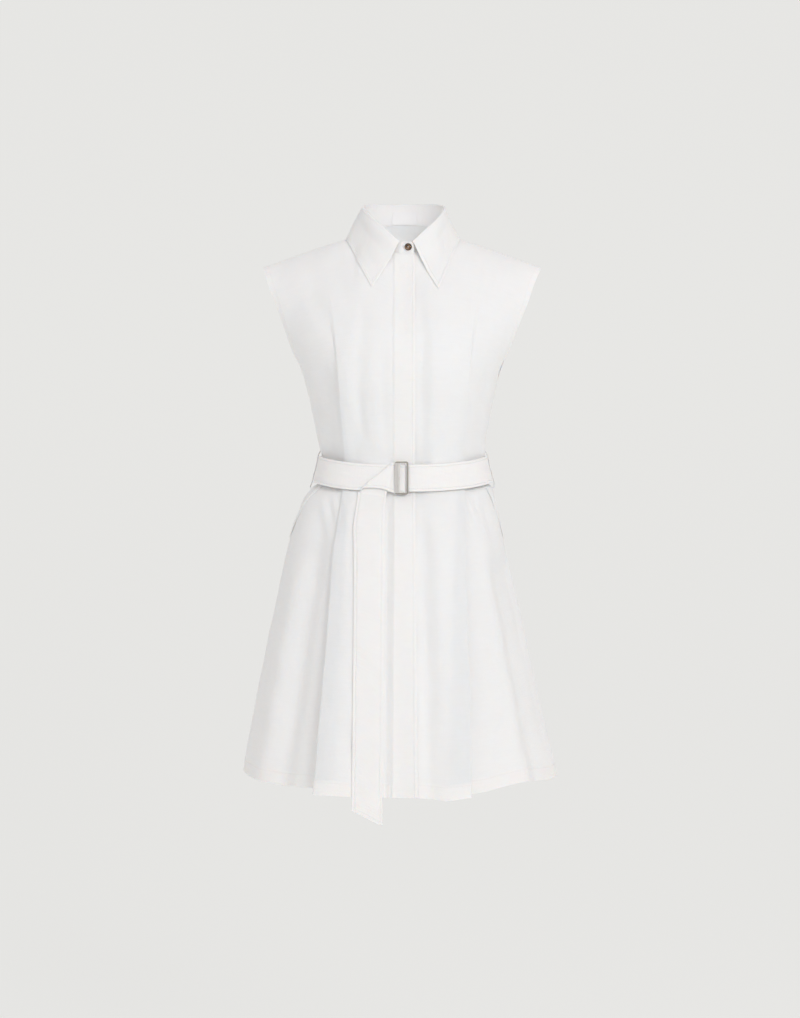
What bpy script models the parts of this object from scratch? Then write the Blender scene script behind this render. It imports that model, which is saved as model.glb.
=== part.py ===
"""Shirt dress in white cotton, filled out as when it is worn.

A sleeveless shirt dress with extended shoulders, a pointed collar on a stand, a concealed-button
placket from neck to hem, waist pleats front and back that run on as knife pleats in a flared skirt,
slanted hip pockets, and its own belt drawn through a flat metal slide, with the free end turned
down over the front.

Frame: metres, +Z up, the front faces -Y.  The origin lies midway between the shoulder seams beside
the neck, where the dress hangs on its wearer.  The wearer's right side is at -X.

Each cloth piece is a wall.  Its middle surface is laid out on a smooth form by two numbers: a share
of the way round from the centre line to the side seam or armhole, and a level up the piece.
"""
import math

import bmesh
import bpy
import numpy as np

# ---------------------------------------------------------------- driving sizes
CLOTH = 0.0012                  # wall of a single layer of cloth
DOUBLE = 0.0022                 # wall of the belt and the placket, which are folded double
COLLAR_CLOTH = 0.0016           # wall of the interfaced collar and stand
GAP = 0.0003                    # space between pieces that meet

WAIST_SIDE_Z = -0.3577          # waist seam at the side seams
WAIST_FRONT_Z = -0.3726         # it dips at the centre front
WAIST_BACK_Z = -0.3520
UNDERARM_Z = -0.2434
UNDERARM_CENTRE_RISE = 0.0084   # a row of the cloth at the underarm lies this much higher at the centre
HEM_SIDE_Z = -0.8260
HEM_FRONT_Z = -0.8330
HEM_BACK_Z = -0.8300

NECK_HALF_WIDTH = 0.0680
NECK_FRONT_Y = -0.0750
NECK_BACK_Y = 0.0520
SHOULDER_TURN = 82.3            # where the shoulder seam meets the neck seam, in degrees from the nape
SHOULDER_TIP_Y = -0.0060
SHOULDER_TIP_Z = -0.0472
SHOULDER_CROWN = 0.0015         # the shoulder line is bowed up by this much
FRONT_NECK_SHARE = 0.41         # share of a front row's length that ends on the neckline
BACK_NECK_SHARE = 0.37
SHOULDER_ROUND = 2.6            # how late the front turns over into the shoulder
SHOULDER_BLUNT = 0.6            # how flat the top of the shoulder is
ARMHOLE_FRONT = 0.050           # how far the armhole's edges lie before and behind the side seam
ARMHOLE_BACK = 0.056

PLACKET_RIGHT_X = -0.0151       # the placket's edges; it is sewn to the right front
PLACKET_LEFT_X = 0.0179
PLACKET_HEM_FLARE = 0.0030      # it widens by this much on each side at the hem
UNDERLAP_X = -0.0100            # edge of the left front, under the placket
UNDERLAP_DEPTH = 0.0028         # the left front lies this far back under the placket
UNDERLAP_EASE = (0.0200, 0.0500)  # and comes forward again between these distances from the centre

BELT_HALF = 0.0222              # half the belt's width
BELT_SIDE_Z = -0.3582
BELT_FRONT_Z = -0.3740
BELT_BACK_Z = -0.3520
BELT_LAYER = 0.0027             # from the middle of one layer of belt to the next
LOOP_WIDTH = 0.0100

LABEL_THICK = 0.0010


def table(columns, *rows):
    """A table with named columns, each column an array."""
    values = np.array(rows, dtype=float)
    return dict(zip(columns.split(), values.T))


# Half-widths of the body and of the armhole's edges, by height.  Above the underarm each side has
# one width for the front edge of the armhole and one for the back edge.
BODY_WIDTH = table(
    "z         right    left     right_back left_back",
    (-0.3577, 0.1235, 0.1235, 0.1235, 0.1235),
    (-0.3355, 0.1246, 0.1254, 0.1246, 0.1254),
    (-0.3170, 0.1292, 0.1262, 0.1292, 0.1262),
    (-0.2801, 0.1369, 0.1323, 0.1369, 0.1323),
    (-0.2434, 0.1444, 0.1400, 0.1444, 0.1400),
    (-0.2092, 0.1533, 0.1456, 0.1540, 0.1500),
    (-0.1762, 0.1682, 0.1605, 0.1680, 0.1625),
    (-0.1382, 0.1819, 0.1757, 0.1815, 0.1757),
    (-0.0998, 0.1959, 0.1912, 0.1955, 0.1912),
    (-0.0759, 0.2056, 0.1995, 0.2050, 0.1995),
    (-0.0472, 0.2142, 0.2119, 0.2142, 0.2119),
)
# How far the body stands before and behind the side seams, by height at the side.
BODY_DEPTH = table(
    "z         front    back",
    (-0.3577, 0.0995, 0.0850),
    (-0.3355, 0.1005, 0.0855),
    (-0.3170, 0.1050, 0.0870),
    (-0.2801, 0.1150, 0.0900),
    (-0.2434, 0.1260, 0.0940),
    (-0.2092, 0.1310, 0.0970),
    (-0.1762, 0.1300, 0.0985),
    (-0.1382, 0.1180, 0.0975),
    (-0.0998, 0.1030, 0.0930),
    (-0.0759, 0.0935, 0.0880),
    (-0.0472, 0.0830, 0.0790),
)
BODY_POWER = 2.3                # 2 is an ellipse, more is squarer

# The skirt's sections, by height at the side.
SKIRT_FORM = table(
    "z         right    left     front    back    power",
    (-0.8260, 0.2440, 0.2368, 0.1920, 0.1820, 1.95),
    (-0.7908, 0.2400, 0.2292, 0.1880, 0.1775, 1.97),
    (-0.7354, 0.2305, 0.2154, 0.1815, 0.1705, 2.00),
    (-0.6800, 0.2200, 0.2030, 0.1750, 0.1640, 2.03),
    (-0.5690, 0.1969, 0.1785, 0.1600, 0.1500, 2.10),
    (-0.4770, 0.1770, 0.1569, 0.1430, 0.1360, 2.20),
    (-0.4400, 0.1670, 0.1490, 0.1330, 0.1270, 2.25),
    (-0.4215, 0.1600, 0.1446, 0.1260, 0.1210, 2.27),
    (-0.4030, 0.1530, 0.1400, 0.1170, 0.1120, 2.30),
    (-0.3890, 0.1415, 0.1370, 0.1060, 0.0960, 2.30),
    (-0.3828, 0.1335, 0.1330, 0.1010, 0.0880, 2.30),
    (-0.3577, 0.1235, 0.1235, 0.0995, 0.0850, 2.30),
)

# Where the fold edges of the waist pleats run, as distances from the centre line, by height.
FRONT_FOLD_BODICE = table(
    "z         right    left",
    (-0.3726, 0.0890, 0.0915),
    (-0.3390, 0.0900, 0.0920),
    (-0.2802, 0.0935, 0.0965),
    (-0.1800, 0.1008, 0.1026),
    (-0.0400, 0.1180, 0.1200),
)
BACK_FOLD_BODICE = table(
    "z         right    left",
    (-0.3726, 0.0800, 0.0820),
    (-0.2802, 0.0830, 0.0850),
    (-0.1800, 0.0900, 0.0920),
    (-0.0400, 0.1080, 0.1100),
)
FRONT_FOLD_SKIRT = table(
    "z         right    left",
    (-0.8350, 0.1310, 0.0985),
    (-0.7419, 0.1235, 0.0985),
    (-0.6080, 0.1125, 0.0955),
    (-0.4728, 0.1030, 0.0933),
    (-0.4332, 0.0975, 0.0933),
    (-0.3903, 0.0907, 0.0930),
    (-0.3577, 0.0890, 0.0915),
)
BACK_FOLD_SKIRT = table(
    "z         right    left",
    (-0.8350, 0.1170, 0.1230),
    (-0.6080, 0.1020, 0.1080),
    (-0.4332, 0.0880, 0.0910),
    (-0.3577, 0.0800, 0.0820),
)
# A pleat's size by level: the cloth tucked under the fold, the length of cloth in each of its two
# bends, and the angle that each bend turns through.  At 180 degrees the layers lie on each other.
BODICE_PLEAT = table(
    "level  tuck    bend      turn",
    (0.00, 0.0120, 0.00314, 180.0),
    (0.50, 0.0070, 0.00314, 180.0),
    (0.80, 0.0045, 0.00314, 165.0),
    (1.00, 0.0035, 0.00314, 110.0),
    (1.25, 0.0030, 0.00314, 45.0),
    (1.45, 0.0030, 0.00314, 14.0),
    (1.70, 0.0030, 0.00314, 3.0),
    (2.00, 0.0030, 0.00314, 1.0),
)
SKIRT_PLEAT = table(
    "level  tuck    bend      turn",
    (0.00, 0.0120, 0.00314, 180.0),
    (0.15, 0.0140, 0.00400, 180.0),
    (0.40, 0.0180, 0.00780, 178.0),
    (0.70, 0.0220, 0.01180, 172.0),
    (1.00, 0.0250, 0.01500, 165.0),
)
# Soft folds of the side and centre panels: each runs from a top to a bottom point, seen from the
# front or the back, and stands out by its height (a hollow is negative).
BODICE_WAVES = table(
    "front  x_top    z_top    x_low    z_low    width   height",
    (1, -0.058, -0.100, -0.072, -0.345, 0.012, -0.0022),
    (1, 0.031, -0.110, 0.030, -0.345, 0.009, -0.0018),
    (1, 0.128, -0.200, 0.110, -0.330, 0.010, -0.0020),
    (1, -0.122, -0.190, -0.107, -0.345, 0.012, -0.0030),
    (0, -0.040, -0.120, -0.034, -0.345, 0.014, -0.0024),
    (0, 0.046, -0.140, 0.038, -0.345, 0.013, -0.0022),
    (0, 0.112, -0.170, 0.100, -0.335, 0.012, -0.0024),
    (0, -0.110, -0.190, -0.100, -0.335, 0.012, -0.0022),
)
SKIRT_WAVES = table(
    "front  x_top    z_top    x_low    z_low    width   height",
    (1, -0.1180, -0.400, -0.1830, -0.850, 0.017, -0.0090),
    (1, 0.0300, -0.405, 0.0400, -0.850, 0.013, -0.0045),
    (1, 0.1230, -0.440, 0.1560, -0.850, 0.015, 0.0070),
    (1, 0.1420, -0.470, 0.1930, -0.850, 0.016, -0.0080),
    (1, -0.1500, -0.480, -0.2150, -0.850, 0.014, 0.0050),
    (0, -0.0450, -0.400, -0.0620, -0.850, 0.020, -0.0070),
    (0, 0.0300, -0.420, 0.0520, -0.850, 0.022, -0.0060),
    (0, 0.1150, -0.400, 0.1650, -0.850, 0.018, -0.0090),
    (0, -0.1200, -0.410, -0.1700, -0.850, 0.018, -0.0080),
    (0, 0.1450, -0.470, 0.2030, -0.850, 0.015, 0.0050),
)
WAVE_FADE = 0.05                # a fold fades over this height at its top end
WAVE_SIDE_FADE = 0.12           # and over this share of the row at the side seam

# The collar, by the angle round the neck from the nape (0) to the centre front (180).
COLLAR = table(
    "turn  seam_z   roll_z",
    (0.0, 0.0270, 0.0600),
    (45.0, 0.0180, 0.0562),
    (82.3, 0.0030, 0.0455),
    (90.0, 0.0015, 0.0430),
    (115.0, -0.0020, 0.0340),
    (131.0, -0.0070, 0.0240),
    (150.0, -0.0170, 0.0080),
    (166.0, -0.0270, -0.0072),
    (175.0, -0.0320, -0.0160),
    (180.0, -0.0330, -0.0165),
)
ROLL_HALF_WIDTH = 0.0610        # the top of the stand, where the collar turns over
ROLL_FRONT_Y = -0.0790
ROLL_BACK_Y = 0.0570
ROLL_LEAN = 0.0050              # the closed front of the stand leans to the wearer's left
ROLL_RADIUS = 0.0016            # of the middle of the cloth where it turns over
LEAF_END = 171.0                # the leaves start this far round
LEAF_LIFT = 0.0050              # the leaf's edge lies this far off the bodice
LEAF_BOW = 0.0020               # and the leaf is bowed out by this much
LEAF_TIP = {-1: (0.0477, -0.0864), 1: (0.0530, -0.0901)}    # collar points: distance from centre, height
LEAF_SHOULDER_X = 0.0878        # where the leaf's edge crosses the shoulder seam
LEAF_BACK = table(
    "turn  x        z",
    (0.0, 0.0000, 0.0060),
    (22.0, 0.0330, 0.0010),
    (45.0, 0.0630, -0.0095),
    (65.0, 0.0820, -0.0115),
    (82.3, 0.0878, -0.0037),
)
STAND_OVER_END = 193.0          # the right end of the stand, which buttons over
STAND_UNDER_END = 188.0         # the left end, under it
STAND_UNDER_DEPTH = 0.0024      # and lies this far back
STAND_OVER_FORWARD = 0.0012     # the right end lies this far forward
STAND_CORNER = 0.0080           # radius of the rounded end
STAND_CLEAR = 0.0014            # the stand starts this far above the middle of the neck seam

LABEL_TURNS = (-15.0, 19.5)
LABEL_RISE = (0.06, 0.66)       # on the stand, from its seam (0) to its top (1)

# The slide: outer size, window and place.
SLIDE_X = (-0.0125, 0.0078)
SLIDE_Z = (-0.3952, -0.3463)
SLIDE_WINDOW_X = (-0.0050, 0.0034)
SLIDE_WINDOW_Z = (-0.3925, -0.3490)
SLIDE_THICK = 0.0020

# The belt's free end: it comes out of the slide, turns over a slanting fold and hangs down.
TAIL_START = (0.0047, -0.3740)
TAIL_RISE = 8.8                 # degrees by which it climbs towards the fold
TAIL_FOLD_AT = 0.0438           # distance from its start to the fold, on its middle line
TAIL_FOLD_SLOPE = 40.4          # slope of the fold
TAIL_ROLL = (0.0018, 0.0042)    # radius of the fold at its upper and lower end
TAIL_SHIFT = -0.0080            # below the fold it swings this far out
TAIL_LENGTH = (0.5290, 0.5520)  # along its left and right edges
TAIL_SLIDE = 0.0172             # it lies flat under the slide over this length
TAIL_RAMP = (0.0100, 0.0075)    # and rises to the fold over this length, at its lower and upper edge


# ---------------------------------------------------------------- small tools
def mix(low, high, share):
    return low + (high - low) * share


def smooth(share):
    share = np.clip(share, 0.0, 1.0)
    return share * share * (3.0 - 2.0 * share)


def along(knots, values, at):
    """A smooth curve through a table's column that never overshoots it."""
    step = np.diff(knots)
    rise = np.diff(values) / step
    slope = np.empty(len(knots))
    slope[0] = rise[0]
    slope[-1] = rise[-1]
    same = rise[:-1] * rise[1:] > 0
    total = np.where(same, rise[:-1] + rise[1:], 1.0)
    slope[1:-1] = np.where(same, 2.0 * rise[:-1] * rise[1:] / total, 0.0)
    at = np.clip(at, knots[0], knots[-1])
    i = np.clip(np.searchsorted(knots, at, side="right") - 1, 0, len(knots) - 2)
    t = (at - knots[i]) / step[i]
    start = (1 + 2 * t) * (1 - t) ** 2 * values[i] + t * (1 - t) ** 2 * step[i] * slope[i]
    end = t * t * (3 - 2 * t) * values[i + 1] - t * t * (1 - t) * step[i] * slope[i + 1]
    return start + end


def unit(vectors):
    return vectors / np.maximum(np.linalg.norm(vectors, axis=-1, keepdims=True), 1e-12)


def lengths(points):
    """Distance along a line of points, starting at 0."""
    steps = np.linalg.norm(np.diff(points, axis=0), axis=1)
    return np.concatenate([[0.0], np.cumsum(steps)])


def ring(width, depth, power, reach, share):
    """Distances out and forward on a quarter of a rounded section, at shares of its length."""
    turn = np.linspace(0.0, reach, 241)
    out = width * np.sin(turn) ** (2.0 / power)
    fore = depth * np.clip(np.cos(turn), 0.0, 1.0) ** (2.0 / power)
    run = lengths(np.stack([out, fore], axis=1))
    at = np.clip(np.abs(share), 0.0, 1.0) * run[-1]
    return np.sign(share) * np.interp(at, run, out), np.interp(at, run, fore)


# ---------------------------------------------------------------- the form of the body
def from_nape(turn):
    """Angle from the nape for heights: the right side runs on level past the centre front."""
    return np.where(turn > 180.0, 360.0 - turn, np.minimum(np.abs(turn), 180.0))


def neck_seam(turn):
    """The neck seam at an angle from the nape, in degrees; negative angles are on the right."""
    angle = np.radians(turn)
    middle = (NECK_FRONT_Y + NECK_BACK_Y) / 2
    reach = (NECK_BACK_Y - NECK_FRONT_Y) / 2
    z = along(COLLAR["turn"], COLLAR["seam_z"], from_nape(turn))
    return np.stack([NECK_HALF_WIDTH * np.sin(angle), middle + reach * np.cos(angle), z], axis=-1)


def top_edge(side, face, share):
    """The upper edge of the bodice: the neckline, then the shoulder seam to its tip."""
    neck_share = FRONT_NECK_SHARE if face == "front" else BACK_NECK_SHARE
    on_neck = np.clip(np.abs(share) / neck_share, 0.0, 1.0)
    far_turn = 180.0 if face == "front" else 0.0
    neck = neck_seam(mix(far_turn, SHOULDER_TURN, on_neck))
    neck[:, 0] *= np.where(share < 0, -side, side)
    start = neck_seam(np.array([SHOULDER_TURN]))[0]
    start[0] *= side
    tip_x = BODY_WIDTH["right" if side < 0 else "left"][-1]
    tip = np.array([side * tip_x, SHOULDER_TIP_Y, SHOULDER_TIP_Z])
    out = np.clip((share - neck_share) / (1.0 - neck_share), 0.0, 1.0)[:, None]
    shoulder = mix(start, tip, out)
    shoulder[:, 2] += SHOULDER_CROWN * np.sin(math.pi * out[:, 0])
    return np.where((share < neck_share)[:, None], neck, shoulder)


def bodice_form(side, face, share, level):
    """Points of the bodice: level 0 is the waist, 1 the underarm, 2 the neckline and shoulder."""
    share = np.asarray(share, dtype=float)
    way = -1.0 if face == "front" else 1.0
    column = ("right" if side < 0 else "left") + ("" if face == "front" else "_back")
    low, high = min(level, 1.0), max(level - 1.0, 0.0)
    side_z = mix(mix(WAIST_SIDE_Z, UNDERARM_Z, low), SHOULDER_TIP_Z, high)
    width = along(BODY_WIDTH["z"], BODY_WIDTH[column], side_z)
    depth = along(BODY_DEPTH["z"], BODY_DEPTH[face], side_z)
    armhole = ARMHOLE_FRONT if face == "front" else ARMHOLE_BACK
    edge = armhole * math.sqrt(1.0 - (1.0 - high) ** 3)
    reach = math.acos((edge / depth) ** (BODY_POWER / 2))
    full = width / math.sin(reach) ** (2.0 / BODY_POWER)
    out, fore = ring(full, depth, BODY_POWER, reach, share)
    waist_z = WAIST_FRONT_Z if face == "front" else WAIST_BACK_Z
    middle = (fore / depth) ** 2
    z = mix(mix(WAIST_SIDE_Z, waist_z, middle), UNDERARM_Z + UNDERARM_CENTRE_RISE * middle, low)
    if high == 0.0:
        return np.stack([side * out, way * fore, z], axis=-1)
    top = top_edge(side, face, share)
    tip = BODY_WIDTH[column][-1]
    out = mix(out / width, side * top[:, 0] / tip, high ** 2) * width
    fore = depth * (1.0 - np.minimum(np.abs(out) / full, 1.0) ** BODY_POWER) ** (1.0 / BODY_POWER)
    neck_share = FRONT_NECK_SHARE if face == "front" else BACK_NECK_SHARE
    blunt = mix(1.0, SHOULDER_BLUNT, smooth(np.abs(share) / neck_share))
    turned = (1.0 - high ** SHOULDER_ROUND) ** blunt
    y = mix(top[:, 1], way * fore, turned)
    return np.stack([side * out, y, mix(z, top[:, 2], high)], axis=-1)


def skirt_form(side, face, share, level):
    """Points of the skirt: level 0 is the waist, 1 the hem."""
    share = np.asarray(share, dtype=float)
    way = -1.0 if face == "front" else 1.0
    side_z = mix(WAIST_SIDE_Z, HEM_SIDE_Z, level)
    knots = SKIRT_FORM["z"]
    width = along(knots, SKIRT_FORM["right" if side < 0 else "left"], side_z)
    depth = along(knots, SKIRT_FORM[face], side_z)
    power = along(knots, SKIRT_FORM["power"], side_z)
    out, fore = ring(width, depth, power, math.pi / 2, share)
    waist_z = WAIST_FRONT_Z if face == "front" else WAIST_BACK_Z
    hem_z = HEM_FRONT_Z if face == "front" else HEM_BACK_Z
    middle = (fore / depth) ** 2
    z = mix(mix(WAIST_SIDE_Z, waist_z, middle), mix(HEM_SIDE_Z, hem_z, middle), level)
    return np.stack([side * out, way * fore, z], axis=-1)


LEVEL_AT_WAIST = 0.04           # the cloth is upright within this level of the waist seam
# Each form, the last level at which its outward direction is measured, and whether levels go up.
FORMS = {
    "bodice": (bodice_form, 1.82, 1.0),
    "skirt": (skirt_form, 0.999, -1.0),
}


def surface(part, side, face, share, level):
    """Points of a form, with the directions along the row and out of the cloth."""
    form, last_level, up = FORMS[part]
    share = np.asarray(share, dtype=float)
    step = 2e-4
    before = np.minimum(share, 1.0 - step) - step
    near = min(level, last_level)
    row = form(side, face, before + 2 * step, near) - form(side, face, before, near)
    higher = form(side, face, share, near + step)
    lower = form(side, face, share, max(near - step, 0.0))
    ahead = unit(row)
    out = unit(np.cross(row, higher - lower)) * side * up * (1.0 if face == "front" else -1.0)
    out[:, 2] *= smooth(level / LEVEL_AT_WAIST)
    return form(side, face, share, level), ahead, unit(out)


# ---------------------------------------------------------------- folds
def wave_height(waves, face, points):
    """How far the soft folds lift the cloth at points of a form."""
    height = np.zeros(len(points))
    for i in np.flatnonzero(waves["front"] == (1 if face == "front" else 0)):
        down = (waves["z_top"][i] - points[:, 2]) / (waves["z_top"][i] - waves["z_low"][i])
        centre = mix(waves["x_top"][i], waves["x_low"][i], down)
        fade = smooth(down * (waves["z_top"][i] - waves["z_low"][i]) / WAVE_FADE)
        across = np.exp(-((points[:, 0] - centre) / waves["width"][i]) ** 2)
        height += waves["height"][i] * fade * across * (down < 1.15)
    return height


def pleat_path(edge, tuck, bend, turn, steps=3):
    """The cloth's way round a pleat, as distances along the row, heights and leans of its outside."""
    radius = bend / turn
    start = edge - radius * math.sin(min(turn, math.pi / 2))
    drop = 2 * radius * (1 - math.cos(turn)) + tuck * math.sin(turn)
    centre = np.array([start, drop - radius])
    angles = np.linspace(math.pi / 2, math.pi / 2 - turn, steps + 1)
    over = centre + radius * np.stack([np.cos(angles), np.sin(angles)], axis=1)
    away = np.array([math.cos(turn), -math.sin(turn)])
    inner = over[-1] + tuck * away + radius * np.array([math.sin(turn), math.cos(turn)])
    under = inner - radius * np.stack([np.cos(angles[::-1]), np.sin(angles[::-1])], axis=1)
    path = np.concatenate([over, under])
    lean = np.concatenate([angles, angles[::-1]])
    return path[:, 0], path[:, 1], lean, drop


def pleat_at(pleat, level):
    """Tuck, bend and turn of a pleat at a level."""
    turn = math.radians(along(pleat["level"], pleat["turn"], level))
    return along(pleat["level"], pleat["tuck"], level), along(pleat["level"], pleat["bend"], level), turn


PLEATS = {
    ("bodice", "front"): (FRONT_FOLD_BODICE, BODICE_PLEAT, BODICE_WAVES),
    ("bodice", "back"): (BACK_FOLD_BODICE, BODICE_PLEAT, BODICE_WAVES),
    ("skirt", "front"): (FRONT_FOLD_SKIRT, SKIRT_PLEAT, SKIRT_WAVES),
    ("skirt", "back"): (BACK_FOLD_SKIRT, SKIRT_PLEAT, SKIRT_WAVES),
}


def half_row(part, side, face, level, start_x, counts, lapped=False):
    """Middle points and outward directions of one row of cloth, from near the centre to the side.

    start_x is where the row starts, as a signed distance from the centre line (negative is over
    the centre); counts are the spaces in the centre panel and in the side panel.  A lapped row
    lies back under the placket.
    """
    folds, pleat, waves = PLEATS[part, face]
    samples = np.linspace(0.0, 1.0, 161)
    base, _, out = surface(part, side, face, samples, level)
    run = lengths(base)[-1]
    tuck, bend, turn = pleat_at(pleat, level)
    drop = pleat_path(0.0, tuck, bend, turn)[3]
    lifted = base + out * drop
    fold_x = along(folds["z"], folds["right" if side < 0 else "left"], lifted[:, 2])
    edge = np.interp(0.0, side * lifted[:, 0] - fold_x, samples) * run
    start = np.sign(start_x) * np.interp(abs(start_x), side * base[:, 0], samples) * run
    s_pleat, h_pleat, lean_pleat, _ = pleat_path(edge, tuck, bend, turn)
    over = tuck + 0.002
    s_centre = np.linspace(max(start, 0.0), s_pleat[0] - over, counts[0] + 1)
    if start < 0:
        s_centre = np.append(start, s_centre)
    s_side = np.linspace(s_pleat[-1] + over, run - GAP / 2, counts[1] + 1)
    h_centre = drop * smooth(np.abs(s_centre) / s_pleat[0])
    s = np.concatenate([s_centre, s_pleat, s_side])
    h = np.concatenate([h_centre, h_pleat, np.zeros(len(s_side))])
    flat = math.pi / 2
    lean = np.concatenate([np.full(len(s_centre), flat), lean_pleat, np.full(len(s_side), flat)])
    points, ahead, out = surface(part, side, face, s / run, level)
    h = h + wave_height(waves, face, points) * smooth((1.0 - s / run) / WAVE_SIDE_FADE)
    if lapped:
        ease = (points[:, 0] - UNDERLAP_EASE[0]) / (UNDERLAP_EASE[1] - UNDERLAP_EASE[0])
        h = h - UNDERLAP_DEPTH * (1.0 - smooth(ease))
    outside = ahead * np.cos(lean)[:, None] + out * np.sin(lean)[:, None]
    return points + out * h[:, None], outside


# ---------------------------------------------------------------- solids
def material(name, colour, roughness, metallic=0.0):
    """A plain surface of one colour."""
    made = bpy.data.materials.new(name)
    made.use_nodes = True
    shader = made.node_tree.nodes["Principled BSDF"]
    shader.inputs["Base Color"].default_value = (*colour, 1.0)
    shader.inputs["Roughness"].default_value = roughness
    shader.inputs["Metallic"].default_value = metallic
    return made


COTTON = (0.86, 0.85, 0.83)
FINISHES = {
    "cotton": (COTTON, 0.85, 0.0),
    "label": ((0.80, 0.79, 0.77), 0.7, 0.0),
    "horn": ((0.09, 0.04, 0.02), 0.25, 0.0),
    "steel": ((0.62, 0.60, 0.57), 0.3, 1.0),
}


def finish(obj, kind):
    """Gives an object its own material and smooth shading between its sharp edges."""
    colour, roughness, metallic = FINISHES[kind]
    obj.data.materials.append(material(obj.name, colour, roughness, metallic))
    obj.data.shade_smooth()
    obj.data.set_sharp_from_angle(angle=math.radians(50))


def place(name, mesh, kind="cotton"):
    obj = bpy.data.objects.new(name, mesh)
    bpy.context.scene.collection.objects.link(obj)
    finish(obj, kind)
    return obj


def cloth_wall(name, middle, outside, thickness=CLOTH, kind="cotton"):
    """A closed wall on both sides of a grid of middle points."""
    rows, columns = middle.shape[:2]
    count = rows * columns
    layers = [middle + outside * thickness / 2, middle - outside * thickness / 2]
    points = np.concatenate([layer.reshape(-1, 3) for layer in layers])
    faces = []
    for i in range(rows - 1):
        for j in range(columns - 1):
            a = i * columns + j
            b, c, d = a + 1, a + columns + 1, a + columns
            faces += [(a, b, c), (a, c, d)]
            faces += [(count + a, count + c, count + b), (count + a, count + d, count + c)]
    border = [(0, j) for j in range(columns)]
    border += [(i, columns - 1) for i in range(1, rows)]
    border += [(rows - 1, j) for j in range(columns - 2, -1, -1)]
    border += [(i, 0) for i in range(rows - 2, 0, -1)]
    rim = [i * columns + j for i, j in border]
    for a, b in zip(rim, rim[1:] + rim[:1]):
        faces += [(b, a, count + a), (b, count + a, count + b)]
    mesh = bpy.data.meshes.new(name)
    mesh.from_pydata(points.tolist(), [], faces)
    bm = bmesh.new()
    bm.from_mesh(mesh)
    bmesh.ops.recalc_face_normals(bm, faces=bm.faces)
    bm.to_mesh(mesh)
    bm.free()
    return place(name, mesh, kind)


def grid_outside(middle):
    """Directions square to a grid of points, all on the same side of the cloth."""
    return unit(np.cross(np.gradient(middle, axis=1), np.gradient(middle, axis=0)))


# ---------------------------------------------------------------- bodice and skirt
BODICE_LEVELS = (0.0, 0.2, 0.42, 0.64, 0.84, 1.0, 1.025, 1.09, 1.2, 1.34, 1.48, 1.62, 1.75, 1.86, 1.94,
                 1.98, 2.0)
SKIRT_LEVELS = (0.0, 0.030, 0.053, 0.075, 0.11, 0.16, 0.22, 0.30, 0.39, 0.49, 0.59, 0.69, 0.79, 0.89,
                1.0)
FRONT_PANEL = {"bodice": (6, 5), "skirt": (6, 7)}
BACK_PANEL = {"bodice": (5, 5), "skirt": (5, 7)}


def panel_wall(name, part, face, rows):
    """A panel's wall, cut square and with half a gap at the waist, shoulder and side seams."""
    middle = np.stack([row[0] for row in rows])
    outside = np.stack([row[1] for row in rows])
    if part == "bodice":
        middle[0, :, 2] += GAP / 2
        middle[-1, :, 1] += (-GAP if face == "front" else GAP) / 2
        outside[-1, :, 1] *= 1.0 - smooth((np.abs(middle[-1, :, 0]) - 0.060) / 0.010)
    else:
        middle[0, :, 2] -= GAP / 2
    outside[0, :, 2] = 0.0
    for column in (0, -1):
        if np.abs(middle[0, column, 1]) < 0.01:
            outside[:, column, 1] *= smooth(np.abs(middle[:, column, 1]) / 0.01)
    return cloth_wall(name, middle, unit(outside))


def front_panel(part, side):
    """A front: it runs from the placket, or from under it, to the side seam and armhole."""
    levels = BODICE_LEVELS if part == "bodice" else SKIRT_LEVELS
    flare = 0.0 if part == "bodice" else PLACKET_HEM_FLARE
    rows = []
    for level in levels:
        start = -PLACKET_RIGHT_X + GAP + flare * level if side < 0 else UNDERLAP_X
        rows.append(half_row(part, side, "front", level, start, FRONT_PANEL[part], side > 0))
    return panel_wall(part + "_front_" + ("right" if side < 0 else "left"), part, "front", rows)


def back_panel(part):
    """A back: one piece from side seam to side seam."""
    levels = BODICE_LEVELS if part == "bodice" else SKIRT_LEVELS
    rows = []
    for level in levels:
        right = half_row(part, -1, "back", level, 0.0, BACK_PANEL[part])
        left = half_row(part, 1, "back", level, 0.0, BACK_PANEL[part])
        rows.append([np.concatenate([r[::-1], l[1:]]) for r, l in zip(right, left)])
    return panel_wall(part + "_back", part, "back", rows)


def centre_spot(part, x, level):
    """Point and outward direction on the front at a distance from the centre line."""
    side = -1 if x < 0 else 1
    points, outside = half_row(part, side, "front", level, 0.0, (24, 2))
    columns = np.hstack([points, outside])[:24]
    found = np.array([np.interp(abs(x), side * columns[:, 0], column) for column in columns.T])
    return found[:3], unit(found[3:])


def level_top(x, level):
    """The level where the front is as high at a place as it is at the centre line."""
    wanted = mix(centre_spot("bodice", x, level)[0][2], centre_spot("bodice", 0.0, level)[0][2],
                 smooth((level - 1.62) / 0.32))
    low, high = level - 0.1, level
    for _ in range(12):
        middle = (low + high) / 2
        if centre_spot("bodice", x, middle)[0][2] > wanted:
            high = middle
        else:
            low = middle
    return middle


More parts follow.
